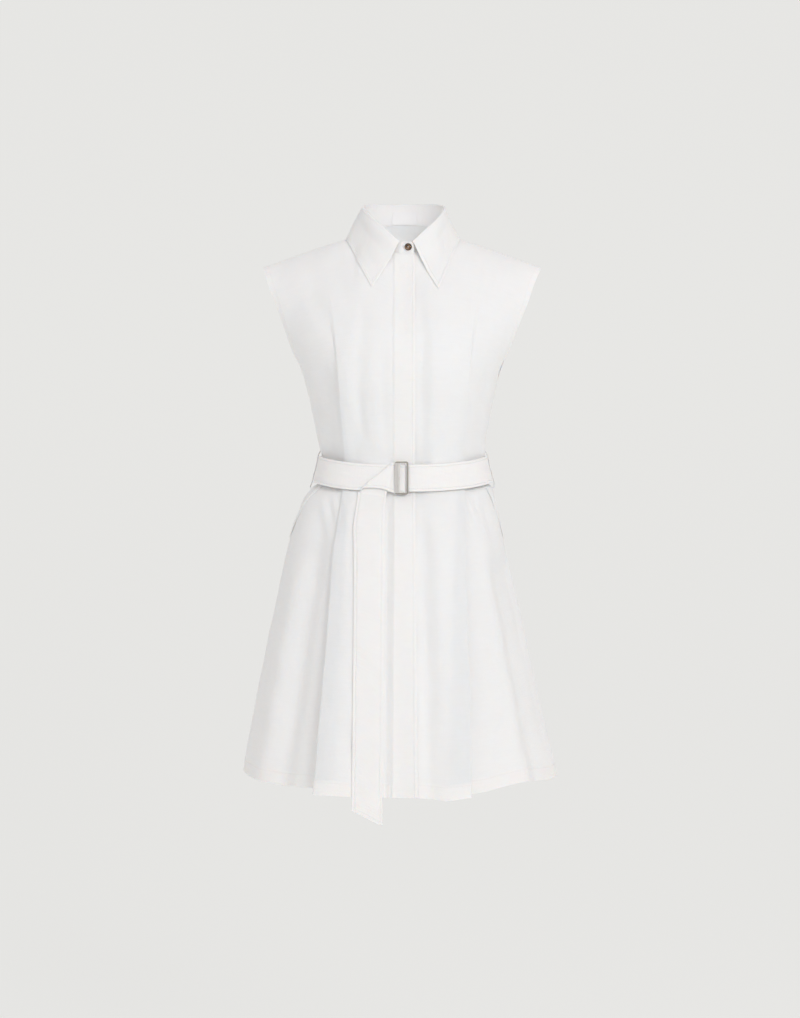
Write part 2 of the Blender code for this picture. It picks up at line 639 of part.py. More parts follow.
def placket():
    """The concealed-button placket: a double strip from the neck to the hem, over the left front."""
    lift = (DOUBLE - CLOTH) / 2 - 0.0003
    stations = [("bodice", min(level, 1.993), 0.0) for level in BODICE_LEVELS[::-1]]
    stations += [("skirt", level, PLACKET_HEM_FLARE * level) for level in SKIRT_LEVELS[1:]]
    rows = []
    for part, level, flare in stations:
        row = []
        for x in np.linspace(PLACKET_RIGHT_X - flare, PLACKET_LEFT_X + flare, 4):
            at = level_top(x, level) if x > 0 and part == "bodice" and level > 1.62 else level
            row.append(centre_spot(part, x, at))
        rows.append(row)
    outside = np.array([[spot[1] for spot in row] for row in rows])
    middle = np.array([[spot[0] for spot in row] for row in rows]) + outside * lift
    return cloth_wall("placket", middle, outside, DOUBLE)


# ---------------------------------------------------------------- collar
def stand_top(turn):
    """The top of the stand at an angle from the nape, in degrees."""
    angle = np.radians(turn)
    middle = (ROLL_FRONT_Y + ROLL_BACK_Y) / 2
    reach = (ROLL_BACK_Y - ROLL_FRONT_Y) / 2
    x = ROLL_HALF_WIDTH * np.sin(angle) + ROLL_LEAN * ((1 - np.cos(angle)) / 2) ** 2
    under_roll = ROLL_RADIUS + COLLAR_CLOTH / 2 + GAP
    under_roll = under_roll * smooth((180.0 - np.abs(turn)) / 12.0)
    z = along(COLLAR["turn"], COLLAR["roll_z"], from_nape(turn)) - under_roll
    return np.stack([x, middle + reach * np.cos(angle), z], axis=-1)


def neck_outward(turn):
    """The level direction away from the neck."""
    step = 0.5
    run = stand_top(turn + step) - stand_top(turn - step)
    out = np.stack([run[..., 1], -run[..., 0], np.zeros_like(run[..., 0])], axis=-1)
    return unit(out * -1.0)


def stand_grid(turns, rises):
    """Points of the stand at angles from the nape and shares of its height."""
    low = neck_seam(turns) + np.array([0.0, 0.0, STAND_CLEAR])
    high = stand_top(turns)
    under = STAND_UNDER_DEPTH * smooth((turns - 135.0) / 25.0)
    over = STAND_OVER_FORWARD * smooth((-turns - 174.0) / 8.0)
    shift = neck_outward(turns) * (over - under)[:, None]
    return np.stack([mix(low, high, rise) + shift for rise in rises], axis=1)


def stand_outside(turns, middle):
    """Directions out of the stand, away from the neck."""
    square = grid_outside(middle)
    return square * np.sign(np.sum(square * neck_outward(turns)[:, None, :], axis=-1, keepdims=True))


def neck_turns():
    """Angles round the neck where the collar and the stand have their rows."""
    half = np.concatenate([np.linspace(0.0, 66.0, 7), (74.0, 79.0, SHOULDER_TURN, 86.0, 92.0),
                           np.linspace(102.0, 150.0, 5), (157.0, 162.0, 166.5, LEAF_END)])
    return np.concatenate([-half[::-1], half[1:]])


def collar_stand():
    """The stand: a band round the neck whose right end buttons over the left."""
    turns = np.concatenate([np.linspace(-STAND_OVER_END, -LEAF_END, 9)[:-1], neck_turns(),
                            np.linspace(LEAF_END, STAND_UNDER_END, 5)[1:]])
    middle = stand_grid(turns, (0.0, 0.34, 0.67, 1.0))
    run = lengths(middle[:, 0])
    corner = np.clip(run / STAND_CORNER, 0.0, 1.0)
    height = 0.12 + 0.88 * np.sqrt(1.0 - (1.0 - corner) ** 2)
    middle = middle[:, :1] + (middle - middle[:, :1]) * height[:, None, None]
    return cloth_wall("collar_stand", middle, stand_outside(turns, middle), COLLAR_CLOTH)


def bodice_at(side, face, x, z):
    """Share and level of the bodice point at a distance from the centre and a height."""
    spot = np.array([min(abs(x) / 0.2, 0.9), 1.8])
    for _ in range(30):
        here = bodice_form(side, face, spot[:1], spot[1])[0]
        miss = np.array([x - side * here[0], z - here[2]])
        step = 1e-4
        right = bodice_form(side, face, spot[:1] + step, spot[1])[0] - here
        above = bodice_form(side, face, spot[:1], spot[1] - step)[0] - here
        slope = np.array([[side * right[0], -side * above[0]], [right[2], -above[2]]]) / step
        spot = spot + np.clip(np.linalg.solve(slope, miss), -0.1, 0.1)
        spot = np.clip(spot, (0.0, 0.2), (1.0, 2.0))
    return spot


def leaf_edge(side, turn):
    """The leaf's outer edge, laid on the bodice and lifted off it."""
    if turn > SHOULDER_TURN:
        share = (turn - SHOULDER_TURN) / (LEAF_END - SHOULDER_TURN)
        tip_x, tip_z = LEAF_TIP[side]
        x = mix(LEAF_SHOULDER_X, tip_x, share)
        z = mix(LEAF_BACK["z"][-1], tip_z, share)
        face = "front"
    else:
        x = along(LEAF_BACK["turn"], LEAF_BACK["x"], turn)
        z = along(LEAF_BACK["turn"], LEAF_BACK["z"], turn)
        face = "back"
    share, level = bodice_at(side, face, x, z)
    points, _, out = surface("bodice", side, face, np.array([share]), level)
    return (points + out * LEAF_LIFT)[0]


def collar_leaf():
    """The collar: it turns over the top of the stand and falls to its edge on the bodice."""
    turns = neck_turns()
    roll = np.linspace(math.pi, 0.0, 5)
    falls = np.linspace(0.0, 1.0, 6)[1:]
    rows = []
    for turn in turns:
        side = -1 if turn < 0 else 1
        out = neck_outward(np.array([turn]))[0]
        top = stand_grid(np.array([turn]), (1.0,))[0, 0] + np.array([0.0, 0.0, 2 * GAP])
        centre = top + out * ROLL_RADIUS
        up = np.array([0.0, 0.0, 1.0])
        arc = [centre + ROLL_RADIUS * (math.cos(a) * out + math.sin(a) * up) for a in roll]
        edge = leaf_edge(side, abs(turn))
        bow = LEAF_BOW * unit(out + up)
        rows.append(arc + [mix(arc[-1], edge, fall) + bow * 4 * fall * (1 - fall) for fall in falls])
    middle = np.array(rows)
    outside = grid_outside(middle)
    outside[:, 0] = neck_outward(turns) * np.sign(np.sum(outside[:, 0] * neck_outward(turns)))
    return cloth_wall("collar", middle, outside, COLLAR_CLOTH)


def neck_label():
    """A bare woven label, sewn inside the back of the stand."""
    turns = np.linspace(*LABEL_TURNS, 7)
    middle = stand_grid(turns, LABEL_RISE)
    outside = stand_outside(turns, middle)
    inside = middle - outside * (COLLAR_CLOTH / 2 + 2 * GAP + LABEL_THICK / 2)
    return cloth_wall("neck_label", inside, outside, LABEL_THICK, "label")


def collar_button():
    """A flat horn-like button with a raised rim, on the right end of the stand."""
    turns = np.array([-187.0, -184.0, -181.0])
    patch = stand_grid(turns, (0.3, 0.6, 0.9))
    spot = patch[1, 1]
    out = stand_outside(turns, patch)[1, 1]
    profile = table(
        "radius height",
        (0.0000, 0.0000), (0.0046, 0.0000), (0.0054, 0.0008), (0.0054, 0.0016),
        (0.0048, 0.0024), (0.0040, 0.0022), (0.0034, 0.0017), (0.0000, 0.0016),
    )
    bm = bmesh.new()
    chain = [bm.verts.new((r, 0.0, h)) for r, h in zip(profile["radius"], profile["height"])]
    edges = [bm.edges.new(pair) for pair in zip(chain, chain[1:])]
    bmesh.ops.spin(bm, geom=chain + edges, cent=(0, 0, 0), axis=(0, 0, 1), angle=math.tau, steps=24,
                   use_merge=True, use_duplicate=False)
    bmesh.ops.remove_doubles(bm, verts=bm.verts, dist=1e-6)
    bmesh.ops.recalc_face_normals(bm, faces=bm.faces)
    right = unit(np.cross(np.array([0.0, 0.0, 1.0]), out))
    up = np.cross(out, right)
    base = spot + out * (COLLAR_CLOTH / 2 + 2 * GAP)
    for vert in bm.verts:
        x, y, h = vert.co
        vert.co = (base + right * x + up * y + out * h).tolist()
    mesh = bpy.data.meshes.new("collar_button")
    bm.to_mesh(mesh)
    bm.free()
    return place("collar_button", mesh, "horn")


# ---------------------------------------------------------------- belt
# Middle of the belt's inner layer at the sides, centre front and centre back, at its lower and
# upper edge.
BELT_REACH = {"side": (0.1369, 0.1299), "front": (0.1048, 0.1038), "back": (0.0945, 0.0915)}
BELT_POWER = 2.6


def belt_point(side, face, share, rise, out=0.0):
    """A point of the belt: rise is -1 at its lower edge and 1 at its upper edge."""
    way = -1.0 if face == "front" else 1.0
    width = mix(*BELT_REACH["side"], (rise + 1) / 2) + out
    depth = mix(*BELT_REACH[face], (rise + 1) / 2) + out
    x, fore = ring(width, depth, BELT_POWER, math.pi / 2, np.array([share]))
    centre_z = BELT_FRONT_Z if face == "front" else BELT_BACK_Z
    z = mix(BELT_SIDE_Z, centre_z, (fore[0] / depth) ** 2) + rise * BELT_HALF
    return np.array([side * x[0], way * fore[0], z])


def belt_share(side, x):
    """Share of the belt's front quarter at a distance from the centre line."""
    shares = np.linspace(0.0, 1.0, 101)
    xs = np.array([side * belt_point(side, "front", share, 0.0)[0] for share in shares])
    return np.interp(x, xs, shares)


def belt():
    """The belt round the waist: its right end lies under the slide and the free end over it."""
    rises = (-1.0, 0.0, 1.0)
    stations = []
    for share in np.linspace(belt_share(-1, 0.0015), 1.0, 17):
        stations.append((-1, "front", share, 0.0))
    for share in np.linspace(1.0, 0.0, 15)[1:]:
        stations.append((-1, "back", share, 0.0))
    for share in np.linspace(0.0, 1.0, 15)[1:]:
        stations.append((1, "back", share, 0.0))
    end = belt_share(1, TAIL_START[0] + GAP)
    for share in np.linspace(1.0, end, 17)[1:]:
        stations.append((1, "front", share, BELT_LAYER * (1.0 - smooth((share - end) / 0.25))))
    middle = np.array([[belt_point(side, face, share, rise, out) for rise in rises]
                       for side, face, share, out in stations])
    return cloth_wall("belt", middle, grid_outside(middle), DOUBLE)


def belt_front_y(x, z):
    """How far forward the belt lies at a place, on its outer face."""
    rise = float(np.clip((z - BELT_FRONT_Z) / BELT_HALF, -1.0, 1.0))
    return belt_point(-1, "front", belt_share(-1, abs(x)), rise)[1] - DOUBLE / 2


def skirt_rows(side):
    """The centre panel of the skirt front, as lines of height and distance forward, by x."""
    lines = []
    for level in SKIRT_LEVELS:
        points = half_row("skirt", side, "front", level, 0.0, FRONT_PANEL["skirt"])[0]
        lines.append(points[:FRONT_PANEL["skirt"][0] + 3])
    return lines


def front_y(lines, x, z):
    """How far forward a panel's outer face lies at a place."""
    heights = np.array([np.interp(abs(x), np.abs(line[:, 0]), line[:, 2]) for line in lines])
    forward = np.array([np.interp(abs(x), np.abs(line[:, 0]), line[:, 1]) for line in lines])
    return float(np.interp(-z, -heights, forward)) - CLOTH / 2


def tail_spot(along_strip, across):
    """Place of a point of the free end as seen from the front, before it is laid on the dress.

    Also gives the radius of the fold there, and how far the fold sets the point back, from 0 to 1.
    """
    rise = math.radians(TAIL_RISE)
    ahead = np.array([-math.cos(rise), math.sin(rise)])
    upward = np.array([math.sin(rise), math.cos(rise)])
    start = np.array(TAIL_START)
    flat = start + ahead * along_strip + upward * across
    flat[0] -= upward[0] * across * (1.0 - smooth(along_strip / 0.02))
    slope = math.radians(TAIL_FOLD_SLOPE)
    line = np.array([math.cos(slope), math.sin(slope)])
    beyond = np.array([-math.sin(slope), math.cos(slope)])
    hinge = start + ahead * TAIL_FOLD_AT
    on_line = float(np.dot(flat - hinge, line))
    past = float(np.dot(flat - hinge, beyond))
    lower = np.clip(0.5 - on_line / 0.058, 0.0, 1.0)
    radius = mix(TAIL_ROLL[0], TAIL_ROLL[1], lower)
    wound = past + radius
    if wound < 0:
        return flat, radius, 0.0
    if wound < math.pi * radius:
        angle = wound / radius
        reach = radius * (math.sin(angle) - 1.0)
        return hinge + line * on_line + beyond * reach, radius, (1.0 - math.cos(angle)) / 2
    reach = -radius - (wound - math.pi * radius)
    spot = hinge + line * on_line + beyond * reach
    fallen = wound - math.pi * radius
    spot = spot + np.array([TAIL_SHIFT * smooth(fallen / 0.06), 0.0])
    return spot, radius, 1.0


def belt_tail():
    """The free end: out of the slide, back over a slanting fold, and down over the skirt."""
    across = np.linspace(-BELT_HALF, BELT_HALF, 7)
    longest = max(TAIL_LENGTH)
    steps = np.concatenate([np.linspace(0.0, 0.10, 27), np.linspace(0.108, 0.20, 11),
                            np.linspace(0.215, longest, 16)])
    lines = skirt_rows(-1)
    rows = []
    for step in steps:
        row = []
        for offset in across:
            edge_length = mix(TAIL_LENGTH[0], TAIL_LENGTH[1], (offset + BELT_HALF) / (2 * BELT_HALF))
            distance = step * edge_length / longest if step > 0.11 else step
            spot, radius, back = tail_spot(distance, offset)
            belt_y = belt_front_y(*spot)
            skirt_y = front_y(lines, *spot)
            below = smooth((BELT_FRONT_Z + 0.012 - spot[1]) / 0.035)
            rest_y = mix(belt_y, min(belt_y, skirt_y), below)
            ramp = mix(TAIL_RAMP[0], TAIL_RAMP[1], (offset + BELT_HALF) / (2 * BELT_HALF))
            free = smooth((distance - TAIL_SLIDE) / ramp)
            layer = rest_y - GAP - 0.0008 * below * free - DOUBLE / 2
            row.append([spot[0], layer - 2 * radius * (1.0 - back) * free, spot[1]])
        rows.append(row)
    middle = np.array(rows)
    return cloth_wall("belt_tail", middle, grid_outside(middle), DOUBLE)


def belt_slide():
    """The flat slide: a rectangular metal frame over the belt."""
    back_y = belt_point(1, "front", 0.0, -1.0, BELT_LAYER)[1] - DOUBLE / 2 - GAP
    bm = bmesh.new()
    outer = [bm.verts.new((x, back_y, z)) for x, z in corners(SLIDE_X, SLIDE_Z)]
    inner = [bm.verts.new((x, back_y, z)) for x, z in corners(SLIDE_WINDOW_X, SLIDE_WINDOW_Z)]
    for i in range(4):
        j = (i + 1) % 4
        bm.faces.new((outer[i], outer[j], inner[j], inner[i]))
    solid = bmesh.ops.extrude_face_region(bm, geom=bm.faces[:])
    moved = [item for item in solid["geom"] if isinstance(item, bmesh.types.BMVert)]
    bmesh.ops.translate(bm, verts=moved, vec=(0.0, -SLIDE_THICK, 0.0))
    bmesh.ops.recalc_face_normals(bm, faces=bm.faces)
    sharp = [edge for edge in bm.edges if edge.calc_face_angle(0.0) > 1.0]
    bmesh.ops.bevel(bm, geom=sharp, offset=0.0005, segments=2, profile=0.5, affect="EDGES")
    mesh = bpy.data.meshes.new("belt_slide")
    bm.to_mesh(mesh)
    bm.free()
    return place("belt_slide", mesh, "steel")


def corners(xs, zs):
    return [(xs[0], zs[0]), (xs[1], zs[0]), (xs[1], zs[1]), (xs[0], zs[1])]


def belt_loop(side):
    """A narrow carrier over the belt at the side seam, sewn to the bodice and the skirt."""
    column = "right" if side < 0 else "left"
    top = along(BODY_WIDTH["z"], BODY_WIDTH[column], -0.3290) + CLOTH + GAP
    low = along(SKIRT_FORM["z"], SKIRT_FORM[column], -0.3890) + CLOTH + 2 * GAP
    over = DOUBLE / 2 + CLOTH / 2 + GAP
    lower, upper = BELT_REACH["side"]
    path = table(
        "x z",
        (top, -0.3290),
        (upper + over - 0.0004, -0.3322),
        (upper + over + 0.0008, -0.3368),
        (upper + over + 0.0028, -0.3480),
        (lower + over - 0.0016, -0.3690),
        (lower + over + 0.0010, -0.3815),
        (low, -0.3880),
    )
    half = LOOP_WIDTH / 2
    middle = np.array([[(side * x, y, z) for y in (-half, 0.0, half)]
                       for x, z in zip(path["x"], path["z"])])
    return cloth_wall("belt_loop_" + column, middle, grid_outside(middle))


# ---------------------------------------------------------------- pockets
POCKET_EDGE = table(
    "down   share",
    (0.053, 0.765), (0.075, 0.790), (0.110, 0.835), (0.160, 0.895), (0.220, 0.955),
)
POCKET_BAND = 0.0080


def pocket_band(side):
    """The turned edge of the slanted hip pocket, lying on the skirt front."""
    name = "pocket_band_" + ("right" if side < 0 else "left")
    rows = []
    for level, share in zip(POCKET_EDGE["down"], POCKET_EDGE["share"]):
        spread = np.linspace(-POCKET_BAND, 0.0, 3) / 0.25
        points, _, out = surface("skirt", side, "front", share + spread, level)
        fade = smooth((1.0 - share - spread) / WAVE_SIDE_FADE)
        height = wave_height(SKIRT_WAVES, "front", points) * fade + CLOTH + GAP + 0.0002
        rows.append((points + out * height[:, None], out))
    middle = np.stack([row[0] for row in rows])
    outside = np.stack([row[1] for row in rows])
    return cloth_wall(name, middle, outside)


# ---------------------------------------------------------------- the whole dress
def build():
    for obj in list(bpy.data.objects):
        bpy.data.objects.remove(obj)
    for part in ("bodice", "skirt"):
        front_panel(part, -1)
        front_panel(part, 1)
        back_panel(part)
    placket()
    collar_stand()
    collar_leaf()
    neck_label()
    collar_button()
    belt()
    belt_tail()
    belt_slide()
    for side in (-1, 1):
        belt_loop(side)
        pocket_band(side)


build()
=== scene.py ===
import math

import bpy
import numpy as np
from mathutils import Matrix
from mathutils.bvhtree import BVHTree


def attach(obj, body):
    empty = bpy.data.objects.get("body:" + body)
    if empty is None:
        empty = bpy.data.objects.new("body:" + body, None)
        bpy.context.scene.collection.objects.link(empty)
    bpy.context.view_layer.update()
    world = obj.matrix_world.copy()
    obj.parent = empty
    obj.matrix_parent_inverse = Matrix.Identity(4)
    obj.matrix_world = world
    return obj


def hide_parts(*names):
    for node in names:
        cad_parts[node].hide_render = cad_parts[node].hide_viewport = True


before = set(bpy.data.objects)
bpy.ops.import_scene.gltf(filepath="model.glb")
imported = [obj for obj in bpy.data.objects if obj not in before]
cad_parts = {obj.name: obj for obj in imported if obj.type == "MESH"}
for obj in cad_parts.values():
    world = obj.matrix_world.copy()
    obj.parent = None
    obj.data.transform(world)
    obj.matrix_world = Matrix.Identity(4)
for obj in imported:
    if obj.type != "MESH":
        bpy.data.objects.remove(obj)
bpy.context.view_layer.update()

# ================================================================ bodice back
# The back of the bodice is one piece of white cotton from side seam to side seam.  A pleat is laid
# towards each side at the waist, and the armhole edges are turned in and stitched down.  It is
# sewn to the fronts at the shoulders and the sides, to the stand at the neck, and to the skirt.
CLOTH = 0.0005                  # thickness of the single cotton; every size here is in metres
WORD = {-1: "right", 1: "left"}     # the wearer's sides, by the sign of x
WAY = {"front": -1.0, "back": 1.0}  # the front faces -y
WAIST = {"side": -0.3577, "front": -0.3726, "back": -0.3520}
UNDERARM_Z = -0.2434
UNDERARM_CENTRE_RISE = 0.0084   # the underarm level lies this much higher at the centre
NECK = {"half_width": 0.0680, "front": -0.0750, "back": 0.0520}
SHOULDER_TURN = 82.3            # where the shoulder seam meets the neck seam, in degrees from the nape
SHOULDER_TIP = (-0.0060, -0.0472)   # its y and z
SHOULDER_CROWN = 0.0015         # how far the shoulder seam bows up
NECK_SHARE = {"front": 0.41, "back": 0.37}  # the neckline's share of a half's top edge
SHOULDER_ROUND = 2.6            # how late the cloth turns over to the shoulder seam
SHOULDER_BLUNT = 0.6            # and how much sooner it does so at the tip
ARMHOLE = {"front": 0.050, "back": 0.056}   # how far its edges lie from the side's plane
BODY_POWER = 2.3                # roundness of a section, where 2 is an ellipse


def table(text):
    """A table of numbers: each line is a name and its values."""
    lines = [line.split() for line in text.strip().splitlines()]
    return {name: np.array(values, dtype=float) for name, *values in lines}


BODY = table("""
    z          -.3577 -.3355 -.317 -.2801 -.2434 -.2092 -.1762 -.1382 -.0998 -.0759 -.0472
    right       .1235  .1246 .1292  .1369  .1444  .1533  .1682  .1819  .1959  .2056  .2142
    left        .1235  .1254 .1262  .1323    .14  .1456  .1605  .1757  .1912  .1995  .2119
    right_back  .1235  .1246 .1292  .1369  .1444   .154   .168  .1815  .1955   .205  .2142
    left_back   .1235  .1254 .1262  .1323    .14    .15  .1625  .1757  .1912  .1995  .2119
    front       .0995  .1005  .105   .115   .126   .131    .13   .118   .103  .0935   .083
    back         .085  .0855  .087    .09   .094   .097  .0985  .0975   .093   .088   .079
""")
NECK_HEIGHT = table("""
    turn     0    22   45 82.3    90   115   131   150   166   175   180
    z    .0262 .0254 .018 .003 .0015 -.002 -.007 -.017 -.027 -.032 -.033
""")
BACK_FOLD_BODICE = table("""
    z     -.3726 -.2802 -.18 -.04
    right    .08   .083  .09 .108
    left    .082   .085 .092  .11
""")
# A pleat by level: the cloth tucked under, the length of the bend at its visible edge and at its
# inner edge, and how far each bend turns, in degrees.
BODICE_PLEAT = table("""
    level     0    .5    .8     1   1.25   1.45    1.7      2
    tuck   .012  .007 .0045 .0035   .003   .003   .003   .003
    edge  .0015 .0015 .0018 .0026 .00314 .00314 .00314 .00314
    inner .0036 .0038  .004 .0036 .00314 .00314 .00314 .00314
    turn    180   180   165   110     45     14      3      1
""")
BODICE_BACK_WAVES = table("""
    x_top    -.04   .046   .112   -.11
    z_top    -.12   -.14   -.17   -.19
    x_low   -.034   .038     .1    -.1
    z_low   -.345  -.345  -.335  -.335
    width    .014   .013   .012   .012
    height -.0024 -.0022 -.0024 -.0022
""")


def mix(low, high, share):
    return low + (high - low) * share


def smooth(share):
    share = np.clip(share, 0.0, 1.0)
    return share * share * (3.0 - 2.0 * share)


def unit(vectors):
    return vectors / np.maximum(np.linalg.norm(vectors, axis=-1, keepdims=True), 1e-12)


def lengths(points):
    """Distance along a line of points, starting at 0."""
    steps = np.linalg.norm(np.diff(points, axis=0), axis=1)
    return np.concatenate([[0.0], np.cumsum(steps)])


def along(knots, values, at):
    """A smooth curve through a table's column that never overshoots it."""
    step = np.diff(knots)
    rise = np.diff(values) / step
    slope = np.empty(len(knots))
    slope[0] = rise[0]
    slope[-1] = rise[-1]
    same = rise[:-1] * rise[1:] > 0
    total = np.where(same, rise[:-1] + rise[1:], 1.0)
    slope[1:-1] = np.where(same, 2.0 * rise[:-1] * rise[1:] / total, 0.0)
    at = np.clip(at, knots[0], knots[-1])
    i = np.clip(np.searchsorted(knots, at, side="right") - 1, 0, len(knots) - 2)
    t = (at - knots[i]) / step[i]
    start = (1 + 2 * t) * (1 - t) ** 2 * values[i] + t * (1 - t) ** 2 * step[i] * slope[i]
    end = t * t * (3 - 2 * t) * values[i + 1] - t * t * (1 - t) * step[i] * slope[i + 1]
    return start + end


def ring(width, depth, power, reach, share):
    """Distances out and forward on a quarter of a rounded section, at shares of its length."""
    turn = np.linspace(0.0, reach, 401)
    out = width * np.sin(turn) ** (2.0 / power)
    fore = depth * np.clip(np.cos(turn), 0.0, 1.0) ** (2.0 / power)
    run = lengths(np.stack([out, fore], axis=1))
    at = np.clip(np.abs(share), 0.0, 1.0) * run[-1]
    return np.sign(share) * np.interp(at, run, out), np.interp(at, run, fore)


def from_nape(turn):
    """Angle from the nape for heights: the right side runs on level past the centre front."""
    return np.where(turn > 180.0, 360.0 - turn, np.minimum(np.abs(turn), 180.0))


def neck_seam(turn):
    """The neck seam at an angle from the nape, in degrees; negative angles are on the right."""
    angle = np.radians(turn)
    middle = (NECK["front"] + NECK["back"]) / 2
    reach = (NECK["back"] - NECK["front"]) / 2
    z = along(NECK_HEIGHT["turn"], NECK_HEIGHT["z"], from_nape(turn))
    return np.stack([NECK["half_width"] * np.sin(angle), middle + reach * np.cos(angle), z], axis=-1)


def top_edge(side, face, share):
    """The upper edge of the bodice: the neckline, then the shoulder seam to its tip."""
    neck_share = NECK_SHARE[face]
    on_neck = np.clip(np.abs(share) / neck_share, 0.0, 1.0)
    neck = neck_seam(mix(180.0 if face == "front" else 0.0, SHOULDER_TURN, on_neck))
    neck[:, 0] *= np.where(share < 0, -side, side)
    start = neck_seam(np.array([SHOULDER_TURN]))[0]
    start[0] *= side
    tip = np.array([side * BODY[WORD[side]][-1], *SHOULDER_TIP])
    out = np.clip((share - neck_share) / (1.0 - neck_share), 0.0, 1.0)[:, None]
    shoulder = mix(start, tip, out)
    shoulder[:, 2] += SHOULDER_CROWN * np.sin(math.pi * out[:, 0])
    return np.where((share < neck_share)[:, None], neck, shoulder)


def bodice_form(side, face, share, level):
    """Points of the bodice: level 0 is the waist, 1 the underarm, 2 the neckline and shoulder."""
    way = WAY[face]
    column = WORD[side] + ("" if face == "front" else "_back")
    low, high = min(level, 1.0), max(level - 1.0, 0.0)
    side_z = mix(mix(WAIST["side"], UNDERARM_Z, low), SHOULDER_TIP[1], high)
    width = along(BODY["z"], BODY[column], side_z)
    depth = along(BODY["z"], BODY[face], side_z)
    edge = ARMHOLE[face] * math.sqrt(1.0 - (1.0 - high) ** 3)
    reach = math.acos((edge / depth) ** (BODY_POWER / 2))
    full = width / math.sin(reach) ** (2.0 / BODY_POWER)
    out, fore = ring(full, depth, BODY_POWER, reach, share)
    middle = (fore / depth) ** 2
    z = mix(mix(WAIST["side"], WAIST[face], middle), UNDERARM_Z + UNDERARM_CENTRE_RISE * middle, low)
    if high == 0.0:
        return np.stack([side * out, way * fore, z], axis=-1)
    top = top_edge(side, face, share)
    out = mix(out / width, side * top[:, 0] / BODY[column][-1], high ** 2) * width
    fore = depth * (1.0 - np.minimum(np.abs(out) / full, 1.0) ** BODY_POWER) ** (1.0 / BODY_POWER)
    blunt = mix(1.0, SHOULDER_BLUNT, smooth(np.abs(share) / NECK_SHARE[face]))
    turned = (1.0 - high ** SHOULDER_ROUND) ** blunt
    return np.stack([side * out, mix(top[:, 1], way * fore, turned), mix(z, top[:, 2], high)], axis=-1)


FOLDS_FADE = 0.12               # soft folds die out over this share of a row before the side seam,
FOLDS_RISE = 0.05               # rise over this distance from their top,
FOLDS_END = 1.15                # and end at this many times their length
# Each form, the last level at which its outward direction is measured, and whether levels go up.
FORMS = {"bodice": (bodice_form, 1.82, 1.0)}
PLEATS = {("bodice", "back"): (BACK_FOLD_BODICE, BODICE_PLEAT, BODICE_BACK_WAVES)}


def surface(part, side, face, share, level):
    """Points of a form, with the directions along the row and out of the cloth."""
    form, last_level, up = FORMS[part]
    step = 2e-4
    before = np.minimum(share, 1.0 - step) - step
    near = min(level, last_level)
    row = form(side, face, before + 2 * step, near) - form(side, face, before, near)
    higher = form(side, face, share, near + step)
    lower = form(side, face, share, max(near - step, 0.0))
    out = unit(np.cross(row, higher - lower)) * side * up * -WAY[face]
    out[:, 2] *= smooth(level / 0.04)
    return form(side, face, share, level), unit(row), unit(out)


def wave_height(waves, points):
    """How far the soft folds lift the cloth."""
    height = np.zeros(len(points))
    for i in range(len(waves["height"])):
        fall = waves["z_top"][i] - waves["z_low"][i]
        down = (waves["z_top"][i] - points[:, 2]) / fall
        centre = mix(waves["x_top"][i], waves["x_low"][i], down)
        across = np.exp(-((points[:, 0] - centre) / waves["width"][i]) ** 2)
        height += waves["height"][i] * smooth(down * fall / FOLDS_RISE) * across * (down < FOLDS_END)
    return height


def pleat_path(edge, tuck, bends, turn, steps=7):
    """The cloth's way round a pleat, as distances along the row and heights."""
    outer, inner = bends[0] / turn, bends[1] / turn
    start = edge - outer * math.sin(min(turn, math.pi / 2))
    drop = (outer + inner) * (1 - math.cos(turn)) + tuck * math.sin(turn)
    angles = np.linspace(math.pi / 2, math.pi / 2 - turn, steps + 1)
    circle = np.stack([np.cos(angles), np.sin(angles)], axis=1)
    over = np.array([start, drop - outer]) + outer * circle
    away = np.array([math.cos(turn), -math.sin(turn)])
    centre = over[-1] + tuck * away + inner * np.array([math.sin(turn), math.cos(turn)])
    under = centre - inner * circle[::-1]
    path = np.concatenate([over, under])
    return path[:, 0], path[:, 1], drop


def ripple(across, down, seed, size, height):
    """Uneven lie of the cloth: a sum of gentle waves of about one size, the same each time."""
    pick = np.random.default_rng(seed)
    total = np.zeros(np.broadcast(across, down).shape)
    for _ in range(14):
        heading = pick.uniform(0.0, math.pi)
        scale = math.tau / (size * pick.uniform(0.7, 1.6))
        phase = pick.uniform(0.0, math.tau)
        total += np.cos(scale * (np.cos(heading) * across + 0.6 * np.sin(heading) * down) + phase)
    return height * total / math.sqrt(7.0)


EDGE_BAND = np.array([0.0105, 0.0095, 0.0086, 0.0078, 0.0060, 0.0042, 0.0024, 0.0010, 0.0])
STITCHED = -6                   # the column of an edge band that carries its stitches
# Columns by the centre edge of a front: how far each lies from it.
CENTRE_BAND = np.array([0.0, 0.0020, 0.0034, 0.0041, 0.0048, 0.0056, 0.0066])
NO_EDGE = (0.0, 0.0, 0.0, 1.0)  # a row that runs on over the centre line


